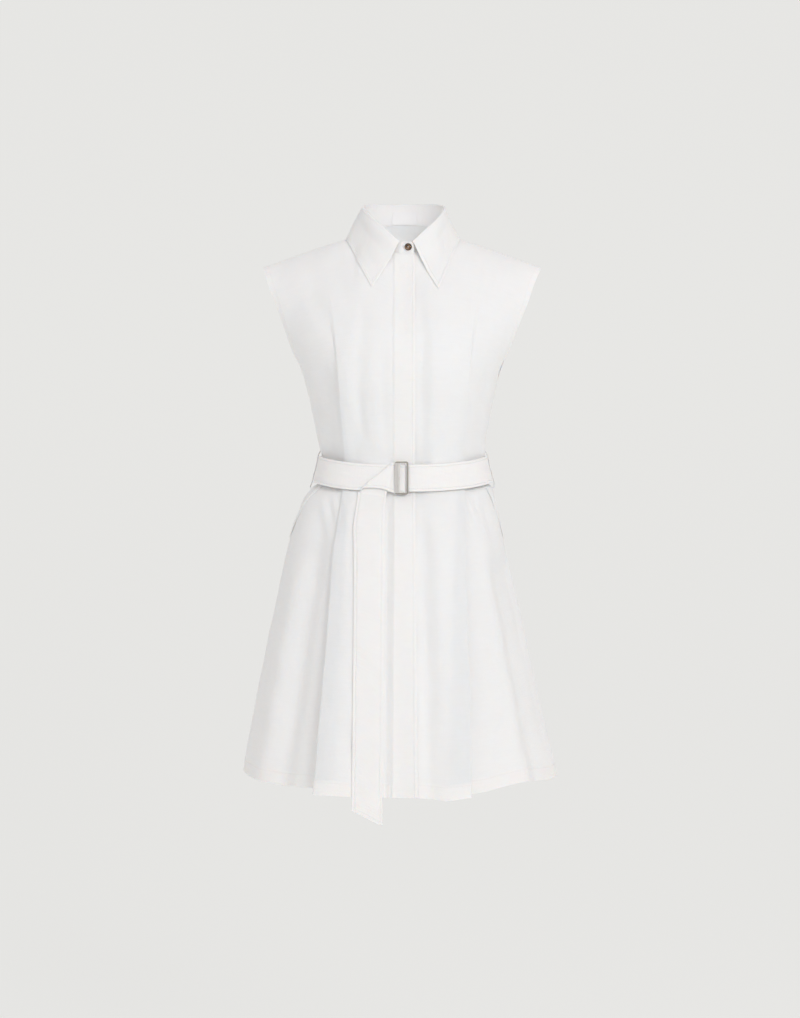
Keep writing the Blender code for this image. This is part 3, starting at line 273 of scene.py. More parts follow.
def half_row(part, side, face, level, counts, edge_at=NO_EDGE):
    """One row of cloth from near the centre to the side: its points, out directions and marks.

    counts is how many columns lie before the pleat and after it.  edge_at is where the row starts,
    how deep it lies under the placket, and between which distances from the centre it comes forward.
    """
    start_x, depth, still, forward = edge_at
    folds, pleat, waves = PLEATS[part, face]
    samples = np.linspace(0.0, 1.0, 161)
    base, _, out = surface(part, side, face, samples, level)
    run = lengths(base)[-1]
    turn = math.radians(along(pleat["level"], pleat["turn"], level))
    tuck = along(pleat["level"], pleat["tuck"], level)
    bends = [along(pleat["level"], pleat[column], level) for column in ("edge", "inner")]
    drop = pleat_path(0.0, tuck, bends, turn)[2]
    lifted = base + out * drop
    fold_x = along(folds["z"], folds[WORD[side]], lifted[:, 2])
    edge = np.interp(0.0, side * lifted[:, 0] - fold_x, samples) * run
    start = np.sign(start_x) * np.interp(abs(start_x), side * base[:, 0], samples) * run
    s_pleat, h_pleat, _ = pleat_path(edge, tuck, bends, turn)
    s_centre = np.linspace(start, s_pleat[0], counts[0] + 1)[:-1]
    if depth:
        s_first = start + CENTRE_BAND
        s_centre = np.concatenate([s_first, np.linspace(s_first[-1], s_pleat[0], counts[0] - 5)[1:-1]])
    last = run - CLOTH / 4 - EDGE_BAND
    s_side = np.linspace(s_pleat[-1], last[0], counts[1] + 1)[1:-1]
    s = np.concatenate([s_centre, s_pleat, s_side, last])
    raised = smooth(np.abs(s_centre) / s_pleat[0])
    h = np.concatenate([drop * raised, h_pleat, np.zeros(len(s_side) + len(last))])
    points, _, out = surface(part, side, face, s / run, level)
    h = h + wave_height(waves, points) * smooth((1.0 - s / run) / FOLDS_FADE)
    h = h - depth * (1.0 - smooth((side * points[:, 0] - still) / (forward - still)))
    return points + out * h[:, None], out, s, run


RIDGE_AT = 1.6                  # the ridge beside a crease lies this many widths from it


def creased(points, creases):
    """Height of the pressed and pulled creases at points, by their x and z.

    Each crease is a curve through three places; it is a trough of one depth, with a ridge beside
    it on the side that its sign gives.
    """
    height = np.zeros(points.shape[:-1])
    x, z = points[..., 0], points[..., 2]
    bend = np.linspace(0.0, 1.0, 25)
    for i in range(len(creases["depth"])):
        row = {name: column[i] for name, column in creases.items()}
        weight = np.stack([(1 - bend) * (1 - 2 * bend), 4 * bend * (1 - bend), bend * (2 * bend - 1)])
        line_x = weight.T @ np.array([row["x1"], row["x2"], row["x3"]])
        line_z = weight.T @ np.array([row["z1"], row["z2"], row["z3"]])
        margin = 4 * row["width"]
        near = (x > line_x.min() - margin) & (x < line_x.max() + margin)
        near &= (z > line_z.min() - margin) & (z < line_z.max() + margin)
        if not near.any():
            continue
        px, pz = x[near][:, None] - line_x, z[near][:, None] - line_z
        closest = np.argmin(px ** 2 + pz ** 2, axis=1)
        pick = np.arange(len(closest))
        px, pz = px[pick, closest], pz[pick, closest]
        run_x, run_z = np.gradient(line_x)[closest], np.gradient(line_z)[closest]
        length = np.hypot(run_x, run_z)
        off = (px * run_z - pz * run_x) / length / row["width"]
        beyond = np.abs(px * run_x + pz * run_z) / length / row["width"]
        fade = np.sin(math.pi * np.clip(bend[closest], 0.02, 0.98)) ** 0.6 * np.exp(-beyond ** 2)
        shape = -np.exp(-off ** 2) + row["ridge"] * np.exp(-(off - RIDGE_AT) ** 2)
        height[near] += row["depth"] * fade * shape
    return height


BODICE_BACK_CREASES = table("""
    x1     -.03   .04 -.085   .03   .12 -.125 -.01
    z1     -.06 -.075   -.3  -.33  -.25 -.245 -.12
    x2    -.075   .09  -.06   .06    .1 -.105 .004
    z2    -.085   -.1 -.322 -.318  -.29  -.29  -.2
    x3     -.14  .145  -.03  .098  .085 -.088    0
    z3     -.12  -.15  -.34   -.3 -.335  -.34  -.3
    width  .008  .009  .006  .006  .007  .007 .012
    depth .0012 .0012 .0009 .0009  .001  .001 .001
    ridge    .5   -.5    .6    .6    .5   -.5   .3
""")


def facing(middle, outward):
    """Directions square to a grid of points, on the outward side."""
    normal = unit(np.cross(np.gradient(middle, axis=1), np.gradient(middle, axis=0)))
    return normal * np.sign(np.sum(normal * outward))


def add_piece(name, mesh, material):
    """Puts a mesh in the scene as a piece that goes with the dress."""
    mesh.materials.append(material)
    piece = bpy.data.objects.new(name, mesh)
    bpy.context.scene.collection.objects.link(piece)
    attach(piece, "root")
    return piece


def cloth_piece(name, middle, outward, thick, material, node):
    """A piece of cloth: a closed thin wall round a grid of middle points, with its weave laid out.

    thick is one number or one for each point.  The weave runs with the rows and columns in metres.
    node is the plain solid that the piece stands for.
    """
    normal = unit(np.cross(np.gradient(middle, axis=1), np.gradient(middle, axis=0)))
    if np.sum(normal * outward) < 0:
        middle, normal = middle[:, ::-1], -normal[:, ::-1]
        thick = thick[:, ::-1] if np.ndim(thick) else thick
    rows, columns = middle.shape[:2]
    half = np.broadcast_to(np.asarray(thick, dtype=float) / 2, (rows, columns))[..., None]
    layers = [middle + normal * half, middle - normal * half]
    u = np.concatenate([np.zeros((rows, 1)),
                        np.cumsum(np.linalg.norm(np.diff(middle, axis=1), axis=2), axis=1)], axis=1)
    u = u - u[:, columns // 2][:, None]
    v = lengths(middle[:, columns // 2])[:, None] + np.zeros((rows, columns))
    weave = np.stack([u, v], axis=-1).reshape(-1, 2)
    index = np.arange(rows * columns).reshape(rows, columns)
    a, b, c, d = index[:-1, :-1], index[:-1, 1:], index[1:, 1:], index[1:, :-1]
    quads = np.stack([a, b, c, d], axis=-1).reshape(-1, 4)
    count = rows * columns
    rim = np.concatenate([index[0, :], index[1:, -1], index[-1, -2::-1], index[-2:0:-1, 0]])
    after = np.roll(rim, -1)
    skirt = np.stack([after, rim, count + rim, count + after], axis=-1)
    faces = np.concatenate([quads, count + quads[:, ::-1], skirt])
    mesh = bpy.data.meshes.new(name)
    mesh.from_pydata(np.concatenate([layer.reshape(-1, 3) for layer in layers]).tolist(), [],
                     faces.tolist())
    layer = mesh.uv_layers.new(name="weave")
    loop_points = np.empty(len(mesh.loops), dtype=np.int32)
    mesh.loops.foreach_get("vertex_index", loop_points)
    layer.data.foreach_set("uv", weave[loop_points % count].astype(np.float32).ravel())
    mesh.shade_smooth()
    mesh.set_sharp_from_angle(angle=math.radians(62))
    piece = add_piece(name, mesh, material)
    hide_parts(node)
    return piece


LEAST_FILLED = 0.31             # a cut fills at least this share of the rectangle it is cut from


def cut_from(middle, with_pieces=()):
    """Works out the size of a piece laid flat: its width, its length and its area."""
    width = max(lengths(row)[-1] for row in middle)
    length = max(lengths(column)[-1] for column in middle.transpose(1, 0, 2))
    a = middle[1:, :-1] - middle[:-1, :-1]
    b = middle[:-1, 1:] - middle[:-1, :-1]
    area = float(np.linalg.norm(np.cross(a, b), axis=2).sum())
    area = min(max(area, LEAST_FILLED * width * length), width * length)


class Shade:
    """A value on its way through a material's nodes: arithmetic on it adds Math nodes."""

    def __init__(self, tree, socket=None):
        self.tree, self.socket = tree, socket

    def node(self, kind, settings=None, inputs=None, out=0):
        """Any node: its settings, then the values or links of its sockets."""
        made = self.tree.nodes.new(kind)
        for key, value in (settings or {}).items():
            if key == "stops":
                while len(made.color_ramp.elements) < len(value):
                    made.color_ramp.elements.new(0.5)
                for stop, (place, colour) in zip(made.color_ramp.elements, value):
                    stop.position, stop.color = place, (*colour, 1.0)
            else:
                setattr(made, key, value)
        for key, value in (inputs or {}).items():
            if isinstance(value, Shade):
                self.tree.links.new(value.socket, made.inputs[key])
            else:
                made.inputs[key].default_value = value
        return Shade(self.tree, made.outputs[out])

    def maths(self, operation, *values):
        return self.node("ShaderNodeMath", {"operation": operation}, dict(enumerate(values)))

    def __add__(self, other):
        return self.maths("ADD", self, other)

    def __sub__(self, other):
        return self.maths("SUBTRACT", self, other)

    def __rsub__(self, other):
        return self.maths("SUBTRACT", other, self)

    def __mul__(self, other):
        return self.maths("MULTIPLY", self, other)

    __radd__ = __add__
    __rmul__ = __mul__

    def sine(self):
        return self.maths("SINE", self)

    def part(self, which):
        """One coordinate of a place."""
        return self.node("ShaderNodeSeparateXYZ", {}, {0: self}, out=which)

    def noise(self, stretch, detail):
        """Noise at a place, finer in each direction by its own number."""
        moved = self.node("ShaderNodeMapping", {}, {0: self, 3: stretch})
        return self.node("ShaderNodeTexNoise", {}, {"Vector": moved, "Scale": 1.0, "Detail": detail})

    def bump(self, distance, strength=1.0):
        """A surface relief, as high as the distance."""
        return self.node("ShaderNodeBump", {}, {"Strength": strength, "Distance": distance,
                                                "Height": self})

    def held(self):
        """The value kept between 0 and 1."""
        return self.node("ShaderNodeMath", {"operation": "ADD", "use_clamp": True}, {0: self, 1: 0.0})

    def blend(self, low, high):
        """A colour from one to another as the value goes from 0 to 1."""
        return self.node("ShaderNodeMix", {"data_type": "RGBA"},
                         {0: self, 6: (*low, 1.0), 7: (*high, 1.0)}, out=2)


def new_material(name, roughness, **constants):
    """A surface with a Principled shader, and the start of its nodes."""
    material = bpy.data.materials.new(name)
    material.use_nodes = True
    shader = material.node_tree.nodes["Principled BSDF"]
    shader.inputs["Roughness"].default_value = roughness
    for key, value in constants.items():
        shader.inputs[key.replace("_", " ")].default_value = value
    return material, shader, Shade(material.node_tree)


def drive(shader, **values):
    """Links worked-out values to the shader's sockets."""
    for key, value in values.items():
        value.tree.links.new(value.socket, shader.inputs[key.replace("_", " ")])


def woven(name, dark, light, thread, relief):
    """White plain-woven cotton: threads, slubs and a faintly uneven white."""
    material, shader, start = new_material(name, 0.86, Sheen_Weight=0.12, Sheen_Roughness=0.5,
                                           Specular_IOR_Level=0.25, Subsurface_Weight=0.55,
                                           Subsurface_Scale=0.0012,
                                           Subsurface_Radius=(1.0, 0.82, 0.70))
    place = start.node("ShaderNodeUVMap", {"uv_map": "weave"})
    pitch = math.tau / thread
    threads = (place.part(0) * pitch).sine() * (place.part(1) * pitch).sine()
    warp = place.noise((1500.0, 60.0, 1.0), 2.0)
    weft = place.noise((70.0, 1300.0, 1.0), 2.0)
    slubs = place.noise((30.0, 380.0, 1.0), 2.0)
    cloudy = place.noise((28.0, 22.0, 1.0), 4.0)
    height = threads * 0.25 + warp * 0.8 + weft * 1.4 + slubs * 2.4 + cloudy * 0.8
    shade = (cloudy * 0.7 + warp * 0.2 + weft * 0.3 + slubs * 0.5 - 0.35).held()
    drive(shader, Base_Color=shade.blend(dark, light), Normal=height.bump(relief),
          Roughness=cloudy * 0.12 + 0.80)
    return material


cotton = woven("white cotton", (0.912, 0.900, 0.892), (0.964, 0.959, 0.956), 0.00055, 0.00010)

BODICE_ROWS = np.concatenate([np.linspace(0.0, 1.0, 46)[:-1], np.linspace(1.0, 1.9, 74)[:-1],
                              2.0 - 0.1 * np.linspace(1.0, 0.0, 16) ** 2])


def half_panel(part, side, face, levels, counts, edge_by=lambda level: NO_EDGE):
    """All rows of one half of a panel: points, out directions and distances from the side edge."""
    rows = [half_row(part, side, face, level, counts, edge_by(level)) for level in levels]
    points, outs = np.stack([row[0] for row in rows]), np.stack([row[1] for row in rows])
    inward = np.stack([row[3] - row[2] for row in rows])
    return points, outs, inward


# The uneven lie of the cloth: how long its waves are and how high, the broad ones and the fine ones.
LIE = ((0.050, 0.00042), (0.018, 0.00010))
STILL_SIDE = 0.02               # a panel lies still over this distance from its side edge,
STILL_FIRST = 0.012             # and over this one from its first row


def settle(points, outs, inward, creases, seed, calm):
    """Lays the creases and the uneven lie of the cloth on a panel, still at its sewn edges.

    calm is the distance over which it lies still at its last row.
    """
    down = lengths(points[:, points.shape[1] // 2])[:, None] + np.zeros(points.shape[:2])
    still = smooth(inward / STILL_SIDE) * smooth(down / STILL_FIRST) * smooth((down[-1] - down) / calm)
    height = creased(points, creases)
    for k, (size, high) in enumerate(LIE):
        height += ripple(points[..., 0], points[..., 2], seed + k, size, high)
    return points + outs * (height * still)[..., None]


ARMHOLE_TURNED = 0.00045        # the turned edge of the armhole is so much thicker,
ARMHOLE_BAND = 0.0100           # and so wide


def armhole_band(inward):
    """Thickness of a bodice panel by the distance from its side edge, turned in above the underarm."""
    band = smooth((ARMHOLE_BAND - inward) / 0.0014) * smooth((BODICE_ROWS[:, None] - 0.99) / 0.03)
    return CLOTH + ARMHOLE_TURNED * band


def stitch_rows(name, lines, stitch=0.0024, gap=0.0008, radius=0.00021):
    """Rows of stitches in thread: each line is its points and the cloth's outward directions."""
    around = np.linspace(0.0, math.tau, 5, endpoint=False)
    profile = ((-0.5, 0.0), (-0.30, 1.0), (0.30, 1.0), (0.5, 0.0))
    points, faces = [], []
    for path, outward in lines:
        run = lengths(path)
        count = max(int(run[-1] / (stitch + gap)), 1)
        at = (np.arange(count) + 0.5) * (run[-1] / count)
        centre = np.stack([np.interp(at, run, path[:, i]) for i in range(3)], axis=1)
        ahead = unit(np.stack([np.interp(at + 2e-4, run, path[:, i]) -
                               np.interp(at - 2e-4, run, path[:, i]) for i in range(3)], axis=1))
        out = unit(np.stack([np.interp(at, run, outward[:, i]) for i in range(3)], axis=1))
        across = np.cross(ahead, out)
        for i in range(count):
            base = len(points)
            for distance, width in profile:
                middle = centre[i] + ahead[i] * distance * stitch
                if width == 0.0:
                    points.append(middle - out[i] * radius)
                else:
                    points += [middle + radius * (math.cos(a) * across[i] + math.sin(a) * out[i])
                               for a in around]
            one, two, end = base + 1, base + 6, base + 11
            for k in range(5):
                n = (k + 1) % 5
                faces.append((base, one + k, one + n))
                faces.append((one + k, two + k, two + n, one + n))
                faces.append((end, two + n, two + k))
    mesh = bpy.data.meshes.new(name)
    mesh.from_pydata(np.array(points).tolist(), [], faces)
    mesh.shade_smooth()
    return add_piece(name, mesh, thread)


def column_line(points, outs, column, lift, first=0, last=None):
    """A line for stitches down a panel's column, lifted to the cloth's outer face."""
    normal = facing(points, outs)
    rows = slice(first, last)
    return points[rows, column] + normal[rows, column] * lift, normal[rows, column]


def spun(name):
    """Sewing thread: twisted, a little shinier than the cloth."""
    material, shader, start = new_material(name, 0.55, Specular_IOR_Level=0.4)
    place = start.node("ShaderNodeTexCoord", {}, {}, out=3)
    twist = start.node("ShaderNodeTexNoise", {}, {"Vector": place, "Scale": 2600.0, "Detail": 1.0})
    drive(shader, Base_Color=twist.blend((0.84, 0.83, 0.81), (0.92, 0.915, 0.90)),
          Normal=twist.bump(0.00005, 0.6))
    return material


thread = spun("white thread")


def sewn_sheet(node, middle, outs, thick, lines):
    """A piece of the cotton with its rows of stitches, and the size of the sheet it was cut from worked
    out.
    """
    piece = cloth_piece(f"{node}_cloth", middle, outs, thick, cotton, node)
    stitches = stitch_rows(f"{node}_stitches", lines)
    cut_from(middle, (stitches,))


def joined(halves):
    """The two halves of a back as one: points, out directions and distances from the side edges."""
    return [np.concatenate([right[:, ::-1], left[:, 1:]], axis=1) for right, left in zip(*halves)]


points, outs, inward = joined([half_panel("bodice", side, "back", BODICE_ROWS, (34, 20))
                               for side in WORD])
points = settle(points, outs, inward, BODICE_BACK_CREASES, 3, 0.03)
armhole_rows = int(np.searchsorted(BODICE_ROWS, 1.0))
sewn_sheet("bodice_back", points, outs, armhole_band(inward),
           [column_line(points, outs, column, 0.0006, armhole_rows)
            for column in (STITCHED, -1 - STITCHED)])

# ================================================================ bodice fronts
# Two fronts of the same cotton.  The wearer's right one carries the placket and laps over the left
# one, whose edge runs on under it.  Each has one waist pleat laid towards the side.
PLACKET_X = (-0.0151, 0.0179)   # the edges of the placket
SEAM_FROM = 0.0905              # the shoulder seam shows from here outwards
FRONT_FOLD_BODICE = table("""
    z     -.3726 -.339 -.2802  -.18 -.04
    right   .089   .09  .0935 .1008 .118
    left   .0915  .092  .0965 .1026  .12
""")
BODICE_FRONT_WAVES = table("""
    x_top   -.058  .031  .128  -.122
    z_top     -.1  -.11   -.2   -.19
    x_low    -.07   .03   .11  -.107
    z_low   -.345 -.345  -.33  -.345
    width    .012  .009   .01   .013
    height -.0034 -.003 -.002 -.0055
""")
PLEATS["bodice", "front"] = (FRONT_FOLD_BODICE, BODICE_PLEAT, BODICE_FRONT_WAVES)
BODICE_FRONT_CREASES = table("""
    x1     -.15   .15   .13 -.145 -.068  -.03  .026   .06 -.085 .085
    z1    -.085  -.09 -.207 -.215 -.225  -.18  -.08 -.285  -.08 -.09
    x2     -.12  .122  .121  -.13 -.062 -.029  .027  .072  -.08 .078
    z2     -.13  -.14  -.24  -.26  -.28  -.26  -.18  -.32  -.13 -.14
    x3      -.1  .105  .112 -.115 -.052 -.026  .028  .084 -.082  .08
    z3      -.2 -.205  -.28  -.33 -.335  -.34  -.33 -.345  -.19  -.2
    width   .01   .01  .006  .008  .007  .007  .007  .007  .014 .014
    depth .0012 .0012 .0016 .0016 .0018 .0016 .0016 .0008  .001 .001
    ridge    .5   -.5    .5   -.4    .4    .4    .4    .5    .3   .3
""")


def centre_edge(side, flare):
    """How the centre edge of a front lies, by level: under the placket, which widens by its flare."""
    if side > 0:
        return lambda level: (-0.0100, 0.0022, 0.0190, 0.0490)
    return lambda level: (0.0105 + flare * level, 0.0011, 0.0132 + flare * level, 0.0152 + flare * level)


for side, word in WORD.items():
    points, outs, inward = half_panel("bodice", side, "front", BODICE_ROWS, (36, 20),
                                      centre_edge(side, 0.0))
    points = settle(points, outs, inward, BODICE_FRONT_CREASES, 14 + 3 * side, 0.03)
    seam_row = -4                   # the shoulder seam lies a little forward of the top edge
    neck_end = int(np.argmax(np.abs(points[seam_row, :, 0]) > SEAM_FROM))
    seam_outs = facing(points, outs)[seam_row, neck_end:-2]
    sewn_sheet(f"bodice_front_{word}", points, outs, armhole_band(inward),
               [column_line(points, outs, STITCHED, 0.0006, armhole_rows),
                (points[seam_row, neck_end:-2] + seam_outs * 0.0003, seam_outs)])

# ================================================================ skirt
# A flared skirt of the same cotton: two fronts and a back, sewn up at the sides.  The waist pleats
# run on as knife pleats that open towards the hem, and the hem is turned up and stitched.
HEM = {"side": -0.8260, "front": -0.8330, "back": -0.8300}
SKIRT_FORM = table("""
    z     -.826 -.7908 -.7354 -.68 -.569 -.477 -.44 -.4215 -.403 -.389 -.3828 -.377 -.3577
    right  .244    .24  .2305  .22 .1969  .177 .167    .16  .153 .1432  .1378  .129  .1235
    left  .2368  .2292  .2154 .203 .1785 .1569 .149  .1446 .1415 .1388  .1368  .129  .1235
    front  .192   .188  .1815 .175   .16  .143 .133   .126 .1165 .1075  .1036 .1008  .0995
    back   .182  .1775  .1705 .164   .15  .136 .127   .121  .111 .0985  .0925  .087   .085
    power  1.95   1.97      2 2.03   2.1   2.2 2.25   2.27   2.3   2.3    2.3   2.3    2.3
""")
FRONT_FOLD_SKIRT = table("""
    z     -.835 -.7419 -.608 -.4728 -.4332 -.3903 -.3577
    right  .131  .1235 .1125   .103  .0975  .0907   .089
    left  .0985  .0985 .0955  .0933  .0933   .093  .0915
""")
BACK_FOLD_SKIRT = table("""
    z     -.835 -.608 -.4332 -.3577
    right  .117  .102   .088    .08
    left   .123  .108   .091   .082
""")
SKIRT_PLEAT = table("""
    level     0   .15   .4    .7     1
    tuck   .012  .014 .018  .022  .025
    edge  .0016  .002 .003 .0042 .0056
    inner .0042 .0056 .012  .018  .022
    turn    180   180  178   172   165
""")
SKIRT_FRONT_WAVES = table("""
    x_top  -.118 -.0225    .03 .1139  .144  -.15
    z_top    -.4  -.385  -.405  -.44  -.47  -.48
    x_low  -.183  -.026    .04 .1856  .216 -.215
    z_low   -.85   -.85   -.85  -.85  -.85  -.85
    width   .017   .006   .013  .013  .021  .014
    height -.009 -.0058 -.0075 .0045 -.014  .005
""")
SKIRT_BACK_WAVES = table("""
    x_top  -.045   .03  .115  -.12 .145
    z_top    -.4  -.42   -.4  -.41 -.47
    x_low  -.062  .052  .165  -.17 .203
    z_low   -.85  -.85  -.85  -.85 -.85
    width    .02  .022  .018  .018 .015
    height -.007 -.006 -.009 -.008 .005
""")


def skirt_form(side, face, share, level):
    """Points of the skirt: level 0 is the waist, 1 the hem."""
    way = WAY[face]
    side_z = mix(WAIST["side"], HEM["side"], level)
    width, depth, power = (along(SKIRT_FORM["z"], SKIRT_FORM[column], side_z)
                           for column in (WORD[side], face, "power"))
    out, fore = ring(width, depth, power, math.pi / 2, share)
    middle = (fore / depth) ** 2
    z = mix(mix(WAIST["side"], WAIST[face], middle), mix(HEM["side"], HEM[face], middle), level)
    return np.stack([side * out, way * fore, z], axis=-1)


FORMS["skirt"] = (skirt_form, 0.999, -1.0)
PLEATS["skirt", "front"] = (FRONT_FOLD_SKIRT, SKIRT_PLEAT, SKIRT_FRONT_WAVES)
PLEATS["skirt", "back"] = (BACK_FOLD_SKIRT, SKIRT_PLEAT, SKIRT_BACK_WAVES)
SKIRT_FRONT_CREASES = table("""
    x1    -.112 -.098  .104  .118  .096  -.06   .05
    z1    -.398 -.395 -.395 -.396 -.395 -.405 -.402
    x2    -.106 -.094   .11  .126  .098  -.07  .054
    z2     -.43  -.42 -.415  -.43 -.425  -.44  -.44
    x3    -.102 -.096  .118  .136    .1 -.074   .06
    z3     -.46  -.45  -.44 -.465 -.455   -.5   -.5
    width  .006  .005  .005  .006  .005  .007  .008
    depth .0032 .0022 .0034 .0028 .0022  .001  .001
    ridge    .6    .6    .7    .6   -.6    .4    .4
""")
SKIRT_BACK_CREASES = table("""
    x1     -.06  .055     0  -.11  .108
    z1    -.392 -.392 -.395 -.395 -.395
    x2    -.064   .06  .002 -.118  .116
    z2     -.42 -.425  -.44  -.43  -.43
    x3    -.066  .064     0 -.128  .126
    z3     -.47  -.48  -.52  -.48  -.48
    width  .007  .007  .009  .007  .007
    depth .0014 .0014 .0012 .0016 .0016
    ridge    .5   -.5    .4    .5    .5
""")
HEM_DEPTH = 0.4683              # from the waist seam down to the hem at the side
SKIRT_ROWS = np.concatenate([np.linspace(0.0, 0.12, 24)[:-1], np.linspace(0.12, 0.9500, 104),
                             1.0 - np.array([0.0218, 0.0208, 0.0198, 0.0185, 0.0165, 0.0130, 0.0095,
                                             0.0060, 0.0030, 0.0012, 0.0]) / HEM_DEPTH])
HEM_STITCHED = -8               # the row that carries the hem's stitches
# How far the hem is lifted at distances from the centre line: the middle panel, then beyond the
# pleat, of the wearer's right front and of the left one.
HEM_RISE = {
    -1: (table("""
        x    0 .13
        rise 0   0
    """), table("""
        x      .13  .151  .179 .2175  .244
        rise .0073 .0069 .0045 .0057 .0083
    """)),
    1: (table("""
        x    0  .0213  .0415  .0631  .0934
        rise 0 -.0006 -.0022 -.0062 -.0033
    """), table("""
        x       .1 .1217 .1464  .159  .181  .185  .21 .2306
        rise .0015 .0029 .0073 .0086 .0098 .0098 .003     0
    """)),
}
HEM_LIFTED_FROM = 0.78          # the lift starts at this level and is whole at the hem
HEM_TURNED = 0.0009             # the turned-up hem is so much thicker,
HEM_BAND = 0.0213               # and so wide


def hem_band(points):
    """Thickness of a skirt panel."""
    band = smooth((SKIRT_ROWS[:, None] - (1.0 - HEM_BAND / HEM_DEPTH)) / (0.0012 / HEM_DEPTH))
    return (CLOTH + HEM_TURNED * band) + np.zeros((1, points.shape[1]))


def hem_lifted(points, side, face, first_tucked):
    """A skirt half with its hem line waved, by a step at the pleat."""
    middle_rise, side_rise = (np.interp(np.abs(points[-1, :, 0]), one["x"], one["rise"])
                              for one in HEM_RISE[side])
    if face == "back":              # the back follows the front only at the side seam
        across = smooth((np.abs(points[-1, :, 0]) - 0.17) / 0.06)
        rise = HEM_RISE[side][1]["rise"][-1] * across
    else:                           # the step at the pleat is spread over five columns
        rise = mix(middle_rise, side_rise, smooth((np.arange(points.shape[1]) - first_tucked) / 5.0))
    points[:, :, 2] += smooth((SKIRT_ROWS[:, None] - HEM_LIFTED_FROM) / (1.0 - HEM_LIFTED_FROM)) * rise
    return points


def hem_line(points, outs):
    """The stitches along the hem, on the outer face."""
    normal = facing(points, outs)
    return points[HEM_STITCHED] + normal[HEM_STITCHED] * 0.00082, normal[HEM_STITCHED]


PLACKET_FLARE = 0.0030          # the placket widens by this much on each side at the hem
skirt_fronts = {}
for side, word in WORD.items():
    points, outs, inward = half_panel("skirt", side, "front", SKIRT_ROWS, (44, 50),
                                      centre_edge(side, PLACKET_FLARE))
    points = hem_lifted(points, side, "front", 50)
    points = settle(points, outs, inward, SKIRT_FRONT_CREASES, 30 + side, 0.001)
    panel = cloth_piece(f"skirt_front_{word}_cloth", points, outs, hem_band(points), cotton,
                        f"skirt_front_{word}")
    stitches = stitch_rows(f"skirt_front_{word}_stitches", [hem_line(points, outs)])
    skirt_fronts[word] = (panel, points, [stitches])

back_halves = [half_panel("skirt", side, "back", SKIRT_ROWS, (40, 46)) for side in WORD]
for side, (points, _, _) in zip(WORD, back_halves):
    hem_lifted(points, side, "back", 0)
points, outs, inward = joined(back_halves)
points = settle(points, outs, inward, SKIRT_BACK_CREASES, 37, 0.001)
sewn_sheet("skirt_back", points, outs, hem_band(points),
           [hem_line(points, outs)])

# ================================================================ pocket edges
# The slanted hip pockets open between the side and the front of the skirt.  What shows of each is
# its turned edge: a folded strip of the cotton, stitched down, which stands open a little.
POCKET_EDGE = table("""
    level .043 .075  .11  .16  .22
    share .755  .79 .835 .895 .955
""")
POCKET_STRIP = 0.0320           # its width, as a share of the row
POCKET_GAPE = 0.0009            # how far its edge stands open, near the middle of its length
POCKET_OFF = 0.0008             # how far the strip lies off the skirt,
POCKET_PUFF = 0.0006            # and how much more between its edges
for side, word in WORD.items():
    middle, outs = [], []
    for level in np.linspace(POCKET_EDGE["level"][0], POCKET_EDGE["level"][-1], 60):
        edge = along(POCKET_EDGE["level"], POCKET_EDGE["share"], level)
        over = np.linspace(0.0, 1.0, 15)
        share = edge - POCKET_STRIP * (1.0 - over)
        row, _, out = surface("skirt", side, "front", share, level)
        lift = wave_height(SKIRT_FRONT_WAVES, row) * smooth((1.0 - share) / FOLDS_FADE)
        down = (level - POCKET_EDGE["level"][0]) / np.ptp(POCKET_EDGE["level"])
        open_by = POCKET_GAPE * math.sin(math.pi * min(0.8 * down + 0.15, 1.0))
        lift = lift + POCKET_OFF + open_by * smooth(over) + POCKET_PUFF * np.sin(math.pi * over)
        middle.append(row + out * lift[:, None])
        outs.append(out)
    middle, outs = np.array(middle), np.array(outs)
    band = cloth_piece(f"pocket_edge_{word}_cloth", middle, outs, 0.0008, cotton, f"pocket_band_{word}")
    stitches = stitch_rows(f"pocket_edge_{word}_stitches",
                           [column_line(middle, outs, 5, 0.0005, 1, -1)])
    panel, points, on_panel = skirt_fronts[word]
    cut_from(points, on_panel + [band, stitches])

# ================================================================ placket
# A double strip of the cotton from the neck to the hem, sewn to the right front along one edge and
# lying over the left front.  It hides the buttons, which show only as faint rounds.
PLACKET_THICK = 0.0014
PLACKET_OFF = 0.0002            # how far its middle lies off the form of the front
STITCH_IN = 0.0043              # stitches lie this far in from a turned edge,
CLOSE_STITCH_IN = 0.0016        # and only this far at the placket's edge on the wearer's right
EDGE_STEPS = np.array([0.0, 0.0002, 0.0005, 0.0009, 0.0016, 0.0026, 0.0034, 0.0039, 0.0043, 0.0047,
                       0.0052, 0.0061])
HIDDEN_BUTTON = {"x": 0.0008, "first": -0.0580, "apart": 0.0740, "count": 10, "radius": 0.0052,
                 "slope": 0.0024, "height": 0.00045}


def strip_steps(width, count):
    """Places across a strip, close together at its edges and its stitches."""
    inner = np.linspace(EDGE_STEPS[-1], width - EDGE_STEPS[-1], count)[1:-1]
    return np.concatenate([EDGE_STEPS, inner, width - EDGE_STEPS[::-1]])


def sewn_edge(distance, thick, stitched=STITCH_IN):
    """Thickness of doubled cloth at a distance from its turned edge, with the stitches' trough."""
    turned = np.sqrt(1.0 - (1.0 - np.clip(distance / 0.0009, 0.0, 1.0)) ** 2)
    full = 1.0 + 0.10 * np.exp(-((distance - 0.0022) / 0.0012) ** 2)
    trough = 0.50 * np.exp(-((distance - stitched) / 0.00060) ** 2)
    return thick * (0.25 + 0.75 * turned) * (full - trough)


